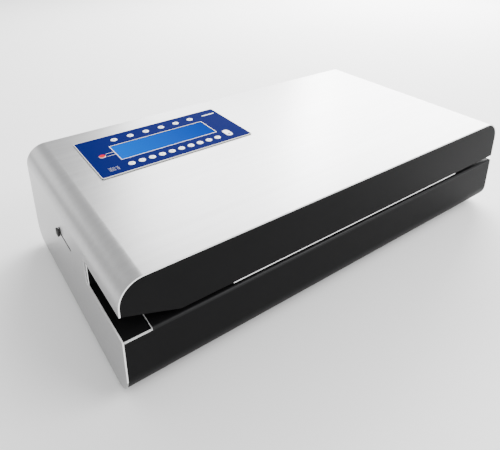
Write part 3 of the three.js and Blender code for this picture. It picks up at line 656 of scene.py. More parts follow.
def finish_of(maker):
    """The material that a maker makes, made once."""
    return bpy.data.materials.get(maker.__name__) or maker()


def dress(node, maker):
    """Gives a carried-over CAD node its finish."""
    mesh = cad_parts[node].data
    mesh.materials.clear()
    mesh.materials.append(finish_of(maker))


# ---------------------------------------------------------------- node trees for what repeats
class Growth:
    """A geometry tree under construction, which puts one shape in many places."""

    def __init__(self, name, sockets):
        self.tree = bpy.data.node_groups.new(name, "GeometryNodeTree")
        face = self.tree.interface
        face.new_socket("Geometry", in_out="INPUT", socket_type="NodeSocketGeometry")
        for label, kind, default in sockets:
            socket = face.new_socket(label, in_out="INPUT", socket_type=kind)
            if default is not None:
                socket.default_value = default
        face.new_socket("Geometry", in_out="OUTPUT", socket_type="NodeSocketGeometry")
        self.given = self.tree.nodes.new("NodeGroupInput").outputs
        self.output = self.tree.nodes.new("NodeGroupOutput")

    def add(self, kind, inputs, **settings):
        """A node, as its first output."""
        return add_node(self.tree, kind, inputs, **settings).outputs[0]

    def repeat(self, points, shape, turn):
        """Puts the shape on the points, realized and with its material; ends the tree."""
        placed = {"Points": points, "Instance": shape, "Rotation": turn}
        placed = self.add("GeometryNodeInstanceOnPoints", placed)
        real = self.add("GeometryNodeRealizeInstances", {"Geometry": placed})
        dressed = {"Geometry": real, "Material": self.given["Material"]}
        dressed = self.add("GeometryNodeSetMaterial", dressed)
        self.tree.links.new(dressed, self.output.inputs["Geometry"])
        return self.tree


def screw_tree():
    """Puts a socket-head screw on each vertex: a low cylinder with a hexagon cut into it."""
    g = Growth(
        "screws",
        [
            ("Head Radius", "NodeSocketFloat", 2.8 * MM),
            ("Head Height", "NodeSocketFloat", 1.2 * MM),
            ("Socket Radius", "NodeSocketFloat", 1.4 * MM),
            ("Turn", "NodeSocketVector", (0, 0, 0)),
            ("Material", "NodeSocketMaterial", None),
        ],
    )
    radius, height = g.given["Head Radius"], g.given["Head Height"]
    narrow = g.add("ShaderNodeMath", {0: radius, 1: 0.8}, operation="MULTIPLY")
    half = g.add("ShaderNodeMath", {0: height, 1: 0.5}, operation="MULTIPLY")
    up = g.add("ShaderNodeCombineXYZ", {"Z": half})
    head = {"Vertices": 28, "Radius": radius, "Depth": height}
    head = g.add("GeometryNodeMeshCylinder", head)
    crown = {"Vertices": 28, "Radius Bottom": radius, "Radius Top": narrow, "Depth": 0.4 * MM}
    crown = g.add("GeometryNodeMeshCone", crown)
    crown = g.add("GeometryNodeTransform", {"Geometry": crown, "Translation": up})
    hexagon = {"Vertices": 6, "Radius": g.given["Socket Radius"], "Depth": height}
    hexagon = g.add("GeometryNodeMeshCylinder", hexagon)
    hexagon = g.add("GeometryNodeTransform", {"Geometry": hexagon, "Translation": up})
    exact = {"solver": "EXACT"}
    whole = g.add("GeometryNodeMeshBoolean", {"Mesh 2": [head, crown]}, operation="UNION", **exact)
    screw = {"Mesh 1": whole, "Mesh 2": hexagon}
    screw = g.add("GeometryNodeMeshBoolean", screw, operation="DIFFERENCE", **exact)
    return g.repeat(g.given["Geometry"], screw, g.given["Turn"])


def louvre_tree():
    """A row of leaning slats, one behind each vent slot."""
    g = Growth(
        "louvres",
        [
            ("Count", "NodeSocketInt", 16),
            ("Pitch", "NodeSocketFloat", 8 * MM),
            ("Start", "NodeSocketVector", (0, 0, 0)),
            ("Slat", "NodeSocketVector", (5 * MM, 0.6 * MM, 24 * MM)),
            ("Lean", "NodeSocketVector", (0, 0, 0.5)),
            ("Material", "NodeSocketMaterial", None),
        ],
    )
    step = g.add("ShaderNodeCombineXYZ", {"X": g.given["Pitch"]})
    row = {"Count": g.given["Count"], "Start Location": g.given["Start"], "Offset": step}
    row = g.add("GeometryNodeMeshLine", row, mode="OFFSET")
    slat = g.add("GeometryNodeMeshCube", {"Size": g.given["Slat"]})
    return g.repeat(row, slat, g.given["Lean"])


def grown(name, tree, points, values, body):
    """Runs a geometry tree on points with these named inputs, and keeps the result as a plain piece."""
    mesh = bpy.data.meshes.new(name)
    mesh.from_pydata([tuple(p) for p in points], [], [])
    seed = in_scene(name, mesh)
    growth = seed.modifiers.new("growth", "NODES")
    growth.node_group = tree
    for item in tree.interface.items_tree:
        if item.in_out == "INPUT" and item.name in values:
            growth[item.identifier] = values[item.name]
    made = bake(seed)
    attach(made, body)
    return made


# ---------------------------------------------------------------- housing and covers
def side_outline():
    """The case from its side: round bottom corners, square at the top."""
    s = sizes()
    front, back, base, top = CASE_LO.y, CASE_HI.y, CASE_LO.z, CASE_HI.z + PAST
    fore, rear = s.front_bend, s.rear_bend
    return (
        [(front, top)]
        + arc(front + fore, base + fore, fore, 180, 270, s.bend_steps)
        + arc(back - rear, base + rear, rear, 270, 360, s.bend_steps)
        + [(back, top)]
    )


def arch(inset, bottom):
    """The case from the front as an arch that ends at the height bottom."""
    s = sizes()
    radius = s.top_bend - inset
    high = CASE_HI.z - s.top_bend
    return (
        [(CASE_HI.x - inset, bottom)]
        + arc(CASE_HI.x - s.top_bend, high, radius, 0, 90, s.bend_steps)
        + arc(CASE_LO.x + s.top_bend, high, radius, 90, 180, s.bend_steps)
        + [(CASE_LO.x + inset, bottom)]
    )


def make_housing():
    """The bent silver sheet with its mouth, exit, adjuster slit and display window."""
    s = sizes()
    sheet = s.sheet
    front, back, base = CASE_LO.y, CASE_HI.y, CASE_LO.z - PAST
    bent = arch(0, base) + arch(sheet, base)[::-1]
    side = prism(side_outline(), "X", CASE_LO.x - PAST, CASE_HI.x + PAST)
    shell = common(prism(bent, "Y", front, back), side)
    slot_back = front + s.mouth_depth
    knob = middle("adjuster_knob")
    reach = STEM_HALF + s.slide_gap
    slit_front, slit_back = knob.y - s.guide_travel - reach, knob.y + reach
    left = (CASE_LO.x - sheet, CASE_LO.x + 2 * sheet)
    right = (CASE_HI.x - 2 * sheet, CASE_HI.x + sheet)
    window = around(*display_glass(), 0.6 * MM)
    openings = together(
        [
            block(*left, front - sheet, slot_back, TABLE_HI.z, MOUTH_TOP),
            block(*right, front - sheet, slot_back, TABLE_HI.z, COVER_LO.z),
            block(*left, slit_front, slit_back, knob.z - s.slit / 2, knob.z + s.slit / 2),
            prism(window, "Z", CASE_HI.z - 5 * MM, CASE_HI.z + 5 * MM),
        ]
    )
    shell = soften(cut(shell, openings), s.edge_round)
    near = 0.5 * MM
    ends = (front, slot_back)
    paint(shell, 1, lambda at, n: n.y < -0.8 and min(abs(at.y - end) for end in ends) < near)
    paint(shell, 1, lambda at, n: n.z > 0.8 and abs(at.z - TABLE_HI.z) < near)
    # The slit's inner faces and their rounded edges take the black coat: painted shade inside the slit.
    slit_shade_reach = s.slit / 2 + s.edge_round
    paint(
        shell,
        2,
        lambda at, n: at.x < left[1]
        and abs(at.z - knob.z) < slit_shade_reach
        and slit_front - near < at.y < slit_back + near,
    )
    piece(
        "housing_sheet",
        [(shell, [finish_of(brushed_silver), finish_of(cut_edge), finish_of(black_coat)])],
        "case",
        ["housing_shell"],
    )


def make_covers():
    """The black upper and lower front covers."""
    s = sizes()
    wall = s.cover_wall
    front = COVER_LO.y
    left, right = COVER_LO.x, COVER_HI.x
    edge = COVER_LO.z
    inset = left - CASE_LO.x
    funnel = CASE_LO.x + s.funnel
    face = arch(inset, edge)
    face[-1] = (left, MOUTH_TOP)
    face.append((funnel, edge))
    plate = prism(face, "Y", front, front + wall)
    lip = [
        (left, MOUTH_TOP),
        (funnel, edge),
        (right, edge),
        (right, edge + wall),
        (funnel, edge + wall),
        (left, MOUTH_TOP + wall),
    ]
    upper = union(plate, prism(lip, "Y", front + wall / 2, front + s.flange))
    soften(upper, s.edge_round)
    piece("upper_cover", [(upper, finish_of(black_coat))], "case", ["upper_front_cover"])

    base, top = LOWER_LO.z, LOWER_HI.z
    front = LOWER_LO.y
    bend, curl = s.front_bend, s.table_lip
    j_outline = (
        [(front + s.lip_depth, top)]
        + arc(front + curl, top - curl, curl, 90, 180, 10)
        + arc(front + bend, base + bend, bend, 180, 270, s.bend_steps)
        + arc(front + bend, base + bend, bend - wall, 270, 180, s.bend_steps)
        + [(front + wall, top - wall), (front + s.lip_depth, top - wall)]
    )
    lower = prism(j_outline, "X", LOWER_LO.x, LOWER_HI.x)
    recess_x, recess_z = FLOOR_HI.x, FLOOR_HI.z
    recess_back = front + 2 * s.lip_depth
    recess = union(
        block(left - wall, recess_x, front - wall, recess_back, recess_z, top + wall),
        block(left - wall, recess_x, front + wall, recess_back, top - 2 * wall, top + wall / 2),
    )
    lower = soften(cut(lower, recess), s.edge_round)
    near = 0.4 * MM
    paint(lower, 1, lambda at, n: n.z > 0.3 and at.x < recess_x and abs(at.z - recess_z) < near)
    paint(lower, 1, lambda at, n: n.x < -0.3 and abs(at.x - recess_x) < near and at.z > recess_z)
    # The curl's front-facing faces take the lighter lip coat: a painted highlight along the lower cover's
    # top edge.
    lip_x, lip_z = recess_x + near, top - curl
    paint(lower, 2, lambda at, n: at.x > lip_x and at.z > lip_z and n.y < -0.1 and n.z > 0.1)
    piece(
        "lower_cover",
        [(lower, [finish_of(black_coat), finish_of(cut_edge), finish_of(lip_painted_highlight)])],
        "case",
        ["lower_front_cover"],
    )


def make_feed_path():
    """Feed table, entry floor and the bright strip under the upper cover."""
    s = sizes()
    plate_low, plate_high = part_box("upper_bearing_plate")
    window_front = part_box("lower_belt")[0].y - 2 * MM
    window = block(
        plate_low.x,
        plate_high.x,
        window_front,
        plate_low.y + 5 * MM,
        TABLE_LO.z - PAST,
        TABLE_HI.z + PAST,
    )
    table = soften(cut(between(TABLE_LO, TABLE_HI), window), s.edge_round)
    paint(table, 1, lambda at, n: n.x < -0.7 and at.x < TABLE_LO.x + 0.4 * MM)
    black, bare = finish_of(black_coat), finish_of(cut_edge)
    piece("table_sheet", [(table, [black, bare])], "case", ["feed_table"])
    floor = soften(between(FLOOR_LO, FLOOR_HI), s.edge_round)
    piece("entry_sheet", [(floor, black)], "case", ["entry_floor"])
    low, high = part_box("guide_strip")
    t = 0.8 * MM
    section = [
        (low.y, low.z),
        (low.y + t, low.z),
        (low.y + t, high.z - t),
        (high.y, high.z - t),
        (high.y, high.z),
        (low.y, high.z),
    ]
    strip = soften(prism(section, "X", low.x, high.x), 0.15 * MM)
    piece("bright_strip", [(strip, bare)], "case", ["guide_strip"])


def make_edge_guide():
    """The upright guide plate with its arm, the carriage and the adjuster knob."""
    s = sizes()
    wall, front = s.guide_sheet, GUIDE_LO.y
    outline = rounded(GUIDE_LO.x, GUIDE_HI.x, GUIDE_LO.z, GUIDE_HI.z, 1.5 * MM, 4)
    plate = soften(prism(outline, "Y", front, front + wall), s.edge_round)
    paint(plate, 1, lambda at, n: n.x < -0.3 and at.x < GUIDE_LO.x + 0.4 * MM)
    knob = middle("adjuster_knob")
    arm_x = KNOB_HI.x + 0.3 * MM
    arm_z = (knob.z - 4.6 * MM, knob.z + 5.4 * MM)
    arm = soften(block(arm_x, arm_x + wall, front + wall / 2, GUIDE_HI.y, *arm_z), s.edge_round)
    black, bare = finish_of(black_coat), finish_of(cut_edge)
    parts = [(plate, [black, bare]), (arm, black)]
    piece("guide_plate", parts, "edge_guide", ["edge_guide"])

    head_end = CASE_LO.x - 0.3 * MM
    head = between(KNOB_LO, Vector((head_end, KNOB_HI.y, KNOB_HI.z)))
    head = soften(head, 0.8 * MM, 3)
    groove_x = (KNOB_LO.x - PAST, KNOB_LO.x + 0.5 * MM)
    groove_z = (KNOB_LO.z - PAST, KNOB_HI.z + PAST)
    grooves = [
        block(*groove_x, y - 0.35 * MM, y + 0.35 * MM, *groove_z)
        for y in (knob.y - 2 * MM, knob.y, knob.y + 2 * MM)
    ]
    head = cut(head, together(grooves))
    stem_z = s.slit / 2 - s.slide_gap
    stem = block(
        head_end - PAST,
        KNOB_HI.x,
        knob.y - STEM_HALF,
        knob.y + STEM_HALF,
        knob.z - stem_z,
        knob.z + stem_z,
    )
    parts = [(union(head, stem), finish_of(black_plastic))]
    piece("knob", parts, "edge_guide", ["adjuster_knob"])
    dress("guide_carriage", black_plastic)
    dress("guide_rod", turned_steel)
    dress("guide_bracket", zinc_plate)


# ---------------------------------------------------------------- base, rear and feet
def make_base_and_rear():
    """The base sheet, and the rear panel with its vents and louvres."""
    s = sizes()
    sheet, bend = s.sheet, s.rear_bend
    back, base = TRAY_HI.y, TRAY_LO.z
    outline = (
        [(TRAY_LO.y, base)]
        + arc(back - bend, base + bend, bend, 270, 360, s.bend_steps)
        + [(back, TRAY_HI.z), (back - sheet, TRAY_HI.z)]
        + arc(back - bend, base + bend, bend - sheet, 360, 270, s.bend_steps)
        + [(TRAY_LO.y, base + sheet)]
    )
    tray = soften(prism(outline, "X", TRAY_LO.x, TRAY_HI.x), s.edge_round)
    piece("base_sheet", [(tray, finish_of(zinc_plate))], "case", ["base_tray"])

    through = (REAR_LO.y - PAST, REAR_HI.y + PAST)
    vent_x = [CASE_LO.x + 60 * MM + i * s.vent_pitch for i in range(s.vents)]
    vent_z, half = CASE_LO.z + 53 * MM, (1.5 * MM, 11 * MM)
    tools = [slab(Vector((x, 0, vent_z)), half, *through, half[0] * 0.999) for x in vent_x]
    tools.append(slab(middle("mains_inlet"), (15.3 * MM, 31.3 * MM), *through, 1 * MM))
    panel = prism(arch(REAR_LO.x - CASE_LO.x, REAR_LO.z), "Y", REAR_LO.y, REAR_HI.y)
    panel = soften(cut(panel, together(tools)), s.edge_round)
    parts = [(panel, finish_of(brushed_silver))]
    piece("rear_sheet", parts, "case", ["rear_panel"])
    values = {
        "Count": s.vents,
        "Pitch": s.vent_pitch,
        "Start": (vent_x[0], REAR_LO.y - 3 * MM, vent_z),
        "Slat": (5.5 * MM, 0.8 * MM, 2 * half[1] + 4 * MM),
        "Lean": (0, 0, math.radians(35)),
        "Material": finish_of(zinc_plate),
    }
    louvres = grown("vent_louvres", louvre_tree(), [(0, 0, 0)], values, "case")


def make_feet():
    """Rubber feet, rounded at the bottom and hollow round their screw."""
    for node in ("foot_front_left", "foot_front_right", "foot_rear_left", "foot_rear_right"):
        low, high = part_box(node)
        at = middle(node)
        r = (high.x - low.x) / 2
        top = high.z
        profile = [
            (0, 3.2 * MM),
            (2.6 * MM, 3.2 * MM),
            (2.9 * MM, 2.9 * MM),
            (2.9 * MM, 0.5 * MM),
            (3.4 * MM, 0),
            (r - 2.6 * MM, 0),
            (r - 1.7 * MM, 0.25 * MM),
            (r - 1.1 * MM, 0.9 * MM),
            (r - 0.2 * MM, top - 0.5 * MM),
            (r - 0.5 * MM, top - 0.1 * MM),
            (r - 0.8 * MM, top),
            (0, top),
        ]
        rubber = lathe(profile, "Z", (at.x, at.y, 0))
        piece(node + "_pad", [(rubber, finish_of(black_rubber))], "case", [node])


def make_screws():
    """Socket screws round the rear panel and under the base."""
    s = sizes()
    tree = screw_tree()
    sunk = 0.1 * MM
    rear = [
        (x, REAR_HI.y - sunk, z)
        for x in (REAR_LO.x + 14 * MM, -90 * MM, 90 * MM, REAR_HI.x - 14 * MM)
        for z in (REAR_LO.z + 9 * MM, REAR_HI.z - 14 * MM)
    ]
    under = [
        (x, y, TRAY_LO.z + sunk)
        for x in (-180 * MM, 0, 180 * MM)
        for y in (-105 * MM, 105 * MM)
    ]
    for name, points, turn in (
        ("rear_screws", rear, (math.radians(-90), 0, 0)),
        ("base_screws", under, (math.pi, 0, 0)),
    ):
        values = {
            "Head Radius": s.screw_head,
            "Head Height": 1.2 * MM,
            "Socket Radius": 1.4 * MM,
            "Turn": turn,
            "Material": finish_of(turned_steel),
        }
        grown(name, tree, points, values, "case")


# ---------------------------------------------------------------- keypad
DIGIT_KEYS = [f"key_digit_{i}" for i in range(10)]
MENU_KEYS = [f"key_menu_{i}" for i in range(1, 7)]


def display_glass():
    """Low and high corner of the display's glass, seen from above."""
    low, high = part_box("display_module")
    frame_width = 5 * MM
    return (
        Vector((low.x + frame_width, low.y + frame_width, low.z)),
        Vector((high.x - frame_width, high.y - frame_width, high.z)),
    )


def ring(outer, inner, z0, z1):
    """A flat band between two outlines."""
    return cut(prism(outer, "Z", z0, z1), prism(inner, "Z", z0 - PAST, z1 + PAST))


def lettering(text, size, at, depth=0.04 * MM):
    """Plain raised characters centred on a point."""
    curve = bpy.data.curves.new("mark", "FONT")
    curve.body = text
    curve.size = size
    curve.extrude = depth
    curve.align_x = "CENTER"
    curve.align_y = "CENTER"
    curve.resolution_u = 3
    text_object = in_scene("mark", curve)
    mesh = evaluated_mesh(text_object)
    bpy.data.objects.remove(text_object)
    mesh.transform(Matrix.Translation(at))
    return in_scene("mark", mesh)


def make_keypad():
    """The blue film panel with its pale print, and the display in its window."""
    low, high = PANEL_LO, PANEL_HI
    glass = display_glass()
    gap = 0.3 * MM
    holes = [around(*glass, gap)]
    for node in DIGIT_KEYS + MENU_KEYS + ["key_stop"]:
        at = middle(node)
        holes.append(circle(at.x, at.y, key_radius(node) + gap))
    holes.append(around(*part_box("key_start"), gap, 4.7 * MM, 12))
    tools = [prism(hole, "Z", low.z - PAST, high.z + PAST) for hole in holes]
    panel = prism(around(low, high, 0, 2 * MM), "Z", low.z, high.z)
    panel = soften(cut(panel, together(tools)), 0.15 * MM)
    near = 0.4 * MM
    paint(
        panel,
        1,
        lambda at, n: n.z < 0.9
        and min(at.x - low.x, high.x - at.x, at.y - low.y, high.y - at.y) < near,
    )
    film, pale = finish_of(keypad_film), finish_of(pale_print)
    piece("keypad_sheet", [(panel, [film, pale])], "case", ["keypad_panel"])

    thick = (high.z - 0.02 * MM, high.z + 0.04 * MM)
    border = around(low, high, -0.2 * MM, 1.9 * MM), around(low, high, -0.7 * MM, 1.5 * MM)
    glass_frame = around(*glass, 1.2 * MM), around(*glass, 0.5 * MM)
    marks = [ring(*border, *thick), ring(*glass_frame, *thick)]
    stop = middle("key_stop")
    lead = (stop.x + 5 * MM, glass[0].x - 1.2 * MM)
    for y in (stop.y - 3.5 * MM, stop.y + 3.5 * MM):
        marks.append(block(*lead, y - 0.2 * MM, y + 0.2 * MM, *thick))
    left = low.x + 13 * MM
    for row in range(5):
        y = low.y + 11 * MM + row * 1.9 * MM
        for start, end in ((0, 4.2), (4.9, 7.4 + row % 2), (9.2, 12)):
            bar = block(left + start * MM, left + end * MM, y, y + 0.2 * MM, *thick)
            marks.append(bar)
    x, y = high.x - 15.5 * MM, high.y - 16 * MM
    badge = rounded(x - 10 * MM, x + 10 * MM, y - 1 * MM, y + 1 * MM, 0.9 * MM)
    marks.append(prism(badge, "Z", *thick))
    piece("keypad_print", [(together(marks), pale)], "case")

    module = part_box("display_module")
    under = CASE_HI.z - sizes().sheet - gap - 1 * MM
    window = soften(prism(around(*glass, 0), "Z", under, module[1].z), 0.25 * MM)
    body = soften(prism(around(*module, 0), "Z", module[0].z, under - HAIR), 0.4 * MM)
    parts = [(window, finish_of(display_glow)), (body, finish_of(black_plastic))]
    piece("display", parts, "case", ["display_module"])


def key_radius(node):
    low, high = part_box(node)
    return (high.x - low.x) / 2


def key_cap(node):
    """A round key: soft edge and slightly crowned face."""
    low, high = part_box(node)
    at, r, top = middle(node), key_radius(node), high.z
    profile = [
        (0, low.z),
        (r - 0.15 * MM, low.z),
        (r, low.z + 0.15 * MM),
        (r, top - 0.55 * MM),
        (r - 0.10 * MM, top - 0.33 * MM),
        (r - 0.32 * MM, top - 0.17 * MM),
        (r - 0.8 * MM, top - 0.08 * MM),
        (r * 0.5, top - 0.02 * MM),
        (0, top),
    ]
    return lathe(profile, "Z", (at.x, at.y, 0), 40)


def spot(at, radius, top, depth, steps):
    """A thin disc let into a key's face."""
    return prism(circle(at.x, at.y, radius, steps), "Z", top - depth, top + HAIR)


def make_keys():
    """Each key with its generic digit or mark."""
    white, red, ink = finish_of(key_plastic), finish_of(stop_plastic), finish_of(dark_ink)
    for node in DIGIT_KEYS + MENU_KEYS + ["key_stop"]:
        at, top = middle(node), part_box(node)[1].z
        colour, slot = ink, "key_white"
        if node in DIGIT_KEYS:
            mark = lettering(node[-1], 5.2 * MM, (at.x, at.y, top - 0.03 * MM))
        elif node in MENU_KEYS:
            mark = spot(at, 1.3 * MM, top, 0.07 * MM, 24)
        else:
            mark = spot(at, 3.8 * MM, top, 0.3 * MM, 36)
            colour, slot = red, "key_red"
        piece(node + "_cap", [(key_cap(node), white), (mark, colour)], node, [node])
    low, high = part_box("key_start")
    outline = around(low, high, 0, key_radius("key_start") - HAIR, 14)
    oval = soften(prism(outline, "Z", low.z, high.z), 0.4 * MM, 3)
    mark = spot(middle("key_start") - Vector((0, 4 * MM, 0)), 1.7 * MM, high.z, 0.1 * MM, 24)
    parts = [(oval, white), (mark, ink)]
    piece("key_start_cap", parts, "key_start", ["key_start"])


# ---------------------------------------------------------------- inlet, drive and electronics
def make_inlet():
    """The mains inlet module with its socket, fuse drawer and rocker switch."""
    at = middle("mains_inlet")
    face, depth = INLET_HI.y, INLET_LO.y
    front = face + PAST
    lip = 3 * MM
    w, h = (INLET_HI.x - INLET_LO.x) / 2, (INLET_HI.z - INLET_LO.z) / 2
    flange = slab(at, (w, h), CASE_HI.y + 0.3 * MM, face, 3 * MM)
    flange = soften(flange, 0.5 * MM, 3)
    body = slab(at, (w - lip, h - lip), depth, face - 1 * MM)

    half_w, half_h, chamfer = 12 * MM, 8.5 * MM, 4 * MM
    socket = Vector((at.x, 0, INLET_LO.z + lip + 4 * MM + half_h))
    socket_back = face - 15 * MM
    low, high = socket.z - half_h, socket.z + half_h
    mouth = [
        (at.x - half_w, low),
        (at.x + half_w, low),
        (at.x + half_w, high - chamfer),
        (at.x + half_w - chamfer, high),
        (at.x - half_w + chamfer, high),
        (at.x - half_w, high - chamfer),
    ]
    rocker = middle("power_rocker")
    rocker_w, rocker_h = 7 * MM, 9 * MM
    drawer = Vector((at.x, 0, (high + rocker.z - rocker_h) / 2))
    groove = cut(
        slab(drawer, (12.4 * MM, 6 * MM), face - 0.8 * MM, front, 0.8 * MM),
        slab(drawer, (12 * MM, 5.6 * MM), face - 2 * MM, face + 2 * MM, 0.8 * MM),
    )
    pull = drawer + Vector((0, 0, 5.2 * MM))
    shell = cut(
        union(flange, body),
        prism(mouth, "Y", socket_back, front),
        slab(rocker, (rocker_w, rocker_h + 0.2 * MM), face - 12.4 * MM, front),
        groove,
        slab(pull, (3 * MM, 1.8 * MM), face - 1.2 * MM, front),
    )
    pins = []
    for x, z in ((-7 * MM, -1.5 * MM), (0, 2.5 * MM), (7 * MM, -1.5 * MM)):
        pin = slab(socket + Vector((x, 0, z)), (MM, 2 * MM), socket_back - MM, face - 6 * MM)
        pins.append(soften(pin, 0.4 * MM))
    parts = [(shell, finish_of(black_plastic)), (together(pins), finish_of(cut_edge))]
    piece("inlet_module", parts, "case", ["mains_inlet"])
    make_rocker(Vector((rocker.x, face - 3.4 * MM, rocker.z)))


def make_rocker(pivot):
    """The rocker, tipped to off, with a bar and a ring moulded in."""
    half, w, back = 8.25 * MM, 6.5 * MM, -5 * MM
    section = [
        (2.6 * MM, 0),
        (1.5 * MM, half),
        (back, half - 1.2 * MM),
        (back, -half + 1.2 * MM),
        (1.5 * MM, -half),
    ]
    blade = soften(prism(section, "X", -w, w), 0.4 * MM, 3)
    bar = block(-0.4 * MM, 0.4 * MM, 2.0 * MM, 2.12 * MM, 3 * MM, 6 * MM)
    hoop = cut(
        prism(circle(0, -4.5 * MM, 1.7 * MM, 32), "Y", 1.9 * MM, 2.1 * MM),
        prism(circle(0, -4.5 * MM, 1.2 * MM, 32), "Y", 1 * MM, 3 * MM),
    )
    place = Matrix.Translation(pivot) @ Matrix.Rotation(math.radians(-8), 4, "X")
    for part in (blade, bar, hoop):
        part.data.transform(place)
    parts = [(blade, finish_of(black_plastic)), (together([bar, hoop]), finish_of(pale_print))]
    piece("rocker", parts, "power_rocker", ["power_rocker"])


def make_drive():
    """Finishes of the transport and its drive, which stay as the frame has them."""
    dress("gearbox", machined_aluminium)
    for side in ("lower", "upper"):
        dress(f"{side}_bearing_plate", machined_aluminium)
        dress(f"{side}_heater_block", machined_aluminium)
        for part in ("drive_pulley", "idler_pulley", "press_roller"):
            dress(f"{side}_{part}", turned_steel)
        dress(f"{side}_drive_gear", gear_plastic)
        dress(f"{side}_belt", belt_coat)
    dress("motor_pinion", turned_steel)
    dress("pressure_leaf_spring", turned_steel)
    dress("mechanism_back_plate", zinc_plate)
    dress("drive_motor", motor_paint)


def make_electronics():
    """Finishes of the power supply and the control board."""
    dress("power_supply", zinc_plate)
    dress("control_board", circuit_board)


# ---------------------------------------------------------------- stage
def make_light(name, at, size, power):
    """A softbox aimed at the machine."""
    data = bpy.data.lights.new(name, "AREA")
    data.shape = "RECTANGLE"
    data.size, data.size_y = size
    data.energy = power
    light = in_scene(name, data)
    light.location = at
    aim = middle("housing_shell") - Vector(at)
    light.rotation_euler = aim.to_track_quat("-Z", "Y").to_euler()


def make_stage():
    """Pale floor, even sky, soft lights and the camera."""
    stage = bpy.context.scene.sealer_stage
    reach = 20
    floor = prism(rectangle(-reach, reach, -reach, reach), "Z", -0.01, 0)
    floor.name = "floor"
    floor.data.materials.append(finish_of(studio_floor))

    world = bpy.data.worlds.new("studio")
    world.use_nodes = True
    sky = world.node_tree.nodes["Background"]
    sky.inputs["Color"].default_value = (1, 1, 1, 1)
    sky.inputs["Strength"].default_value = stage.sky
    bpy.context.scene.world = world

    make_light("right_softbox", (1.75, 1.0, 0.85), (1.3, 1.1), stage.right_light)
    make_light("rear_softbox", (0.9, 1.5, 1.15), (1.1, 1.0), stage.rear_light)
    make_light("front_softbox", (1.0, -1.2, 1.5), (1.4, 1.2), stage.front_light)
    make_light("left_softbox", (-0.96, 1.8, 0.6), (0.8, 0.7), stage.left_light)

    data = bpy.data.cameras.new("camera")
    data.sensor_width = 36
    data.lens = stage.lens
    data.shift_y = stage.shift
    data.clip_start, data.clip_end = 0.01, 100
    camera = in_scene("camera", data)
    camera.location = stage.camera_at
    camera.rotation_euler = (math.radians(90) - stage.camera_pitch, 0, -stage.camera_yaw)
    bpy.context.scene.camera = camera


# ---------------------------------------------------------------- operators and panel
class SEALER_OT_stage(bpy.types.Operator):
    """Make the floor, the lights and the camera"""

    bl_idname = "sealer.stage"
    bl_label = "Stage"

    def execute(self, context):
        make_stage()
        return {"FINISHED"}


class SEALER_OT_housing(bpy.types.Operator):
    """Make the bent silver housing"""

    bl_idname = "sealer.housing"
    bl_label = "Housing"

    def execute(self, context):
        make_housing()
        return {"FINISHED"}


class SEALER_OT_covers(bpy.types.Operator):
    """Make the black front covers"""

    bl_idname = "sealer.covers"
    bl_label = "Covers"

    def execute(self, context):
        make_covers()
        return {"FINISHED"}


class SEALER_OT_feed_path(bpy.types.Operator):
    """Make the table, the entry floor and the bright strip"""

    bl_idname = "sealer.feed_path"
    bl_label = "Feed path"

    def execute(self, context):
        make_feed_path()
        return {"FINISHED"}


class SEALER_OT_edge_guide(bpy.types.Operator):
    """Make the edge guide and its knob"""

    bl_idname = "sealer.edge_guide"
    bl_label = "Edge guide"

    def execute(self, context):
        make_edge_guide()
        return {"FINISHED"}


class SEALER_OT_base_and_rear(bpy.types.Operator):
    """Make the base sheet and the rear panel with its vents"""

    bl_idname = "sealer.base_and_rear"
    bl_label = "Base and rear"

    def execute(self, context):
        make_base_and_rear()
        return {"FINISHED"}


class SEALER_OT_feet(bpy.types.Operator):
    """Make the rubber feet"""

    bl_idname = "sealer.feet"
    bl_label = "Feet"

    def execute(self, context):
        make_feet()
        return {"FINISHED"}


class SEALER_OT_screws(bpy.types.Operator):
    """Make the screws"""

    bl_idname = "sealer.screws"
    bl_label = "Screws"

    def execute(self, context):
        make_screws()
        return {"FINISHED"}


class SEALER_OT_keypad(bpy.types.Operator):
    """Make the keypad panel and the display"""

    bl_idname = "sealer.keypad"
    bl_label = "Keypad"

    def execute(self, context):
        make_keypad()
        return {"FINISHED"}


class SEALER_OT_keys(bpy.types.Operator):
    """Make the keys with their marks"""

    bl_idname = "sealer.keys"
    bl_label = "Keys"

    def execute(self, context):
        make_keys()
        return {"FINISHED"}


class SEALER_OT_inlet(bpy.types.Operator):
    """Make the mains inlet and the rocker switch"""

    bl_idname = "sealer.inlet"
    bl_label = "Inlet"

    def execute(self, context):
        make_inlet()
        return {"FINISHED"}


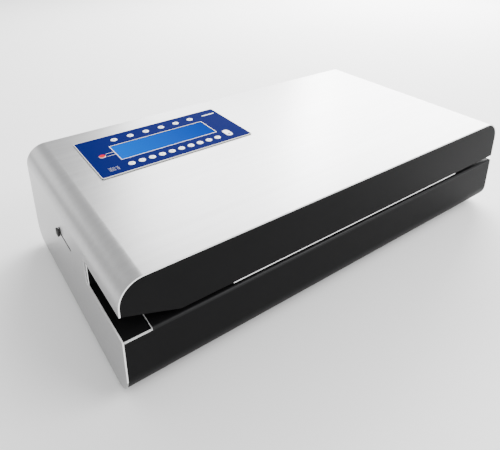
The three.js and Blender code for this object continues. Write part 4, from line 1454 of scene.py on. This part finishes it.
class SEALER_OT_drive(bpy.types.Operator):
    """Finish the belts, rollers, gears and motor"""

    bl_idname = "sealer.drive"
    bl_label = "Drive"

    def execute(self, context):
        make_drive()
        return {"FINISHED"}


class SEALER_OT_electronics(bpy.types.Operator):
    """Finish the power supply and the control board"""

    bl_idname = "sealer.electronics"
    bl_label = "Electronics"

    def execute(self, context):
        make_electronics()
        return {"FINISHED"}


OPERATORS = [
    SEALER_OT_stage,
    SEALER_OT_housing,
    SEALER_OT_covers,
    SEALER_OT_feed_path,
    SEALER_OT_edge_guide,
    SEALER_OT_base_and_rear,
    SEALER_OT_feet,
    SEALER_OT_screws,
    SEALER_OT_keypad,
    SEALER_OT_keys,
    SEALER_OT_inlet,
    SEALER_OT_drive,
    SEALER_OT_electronics,
]


class SEALER_PT_pieces(bpy.types.Panel):
    """Lists the pieces in the 3D view's sidebar."""

    bl_label = "Heat Sealer"
    bl_space_type = "VIEW_3D"
    bl_region_type = "UI"
    bl_category = "Heat Sealer"

    def draw(self, context):
        for made in OPERATORS:
            self.layout.operator(made.bl_idname)
        for group in (context.scene.sealer_sizes, context.scene.sealer_finishes, context.scene.sealer_stage):
            box = self.layout.box()
            for name in group.bl_rna.properties.keys():
                if name not in ("rna_type", "name"):
                    box.prop(group, name)


CLASSES = [SealerSizes, SealerFinishes, SealerStage, *OPERATORS, SEALER_PT_pieces]


def register():
    for made in CLASSES:
        bpy.utils.register_class(made)
    bpy.types.Scene.sealer_sizes = bpy.props.PointerProperty(type=SealerSizes)
    bpy.types.Scene.sealer_finishes = bpy.props.PointerProperty(type=SealerFinishes)
    bpy.types.Scene.sealer_stage = bpy.props.PointerProperty(type=SealerStage)


def unregister():
    del bpy.types.Scene.sealer_stage
    del bpy.types.Scene.sealer_finishes
    del bpy.types.Scene.sealer_sizes
    for made in reversed(CLASSES):
        bpy.utils.unregister_class(made)


def main():
    register()
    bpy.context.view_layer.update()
    for made in OPERATORS:
        getattr(bpy.ops.sealer, made.bl_idname.split(".")[1])()


if __name__ == "__main__":
    main()
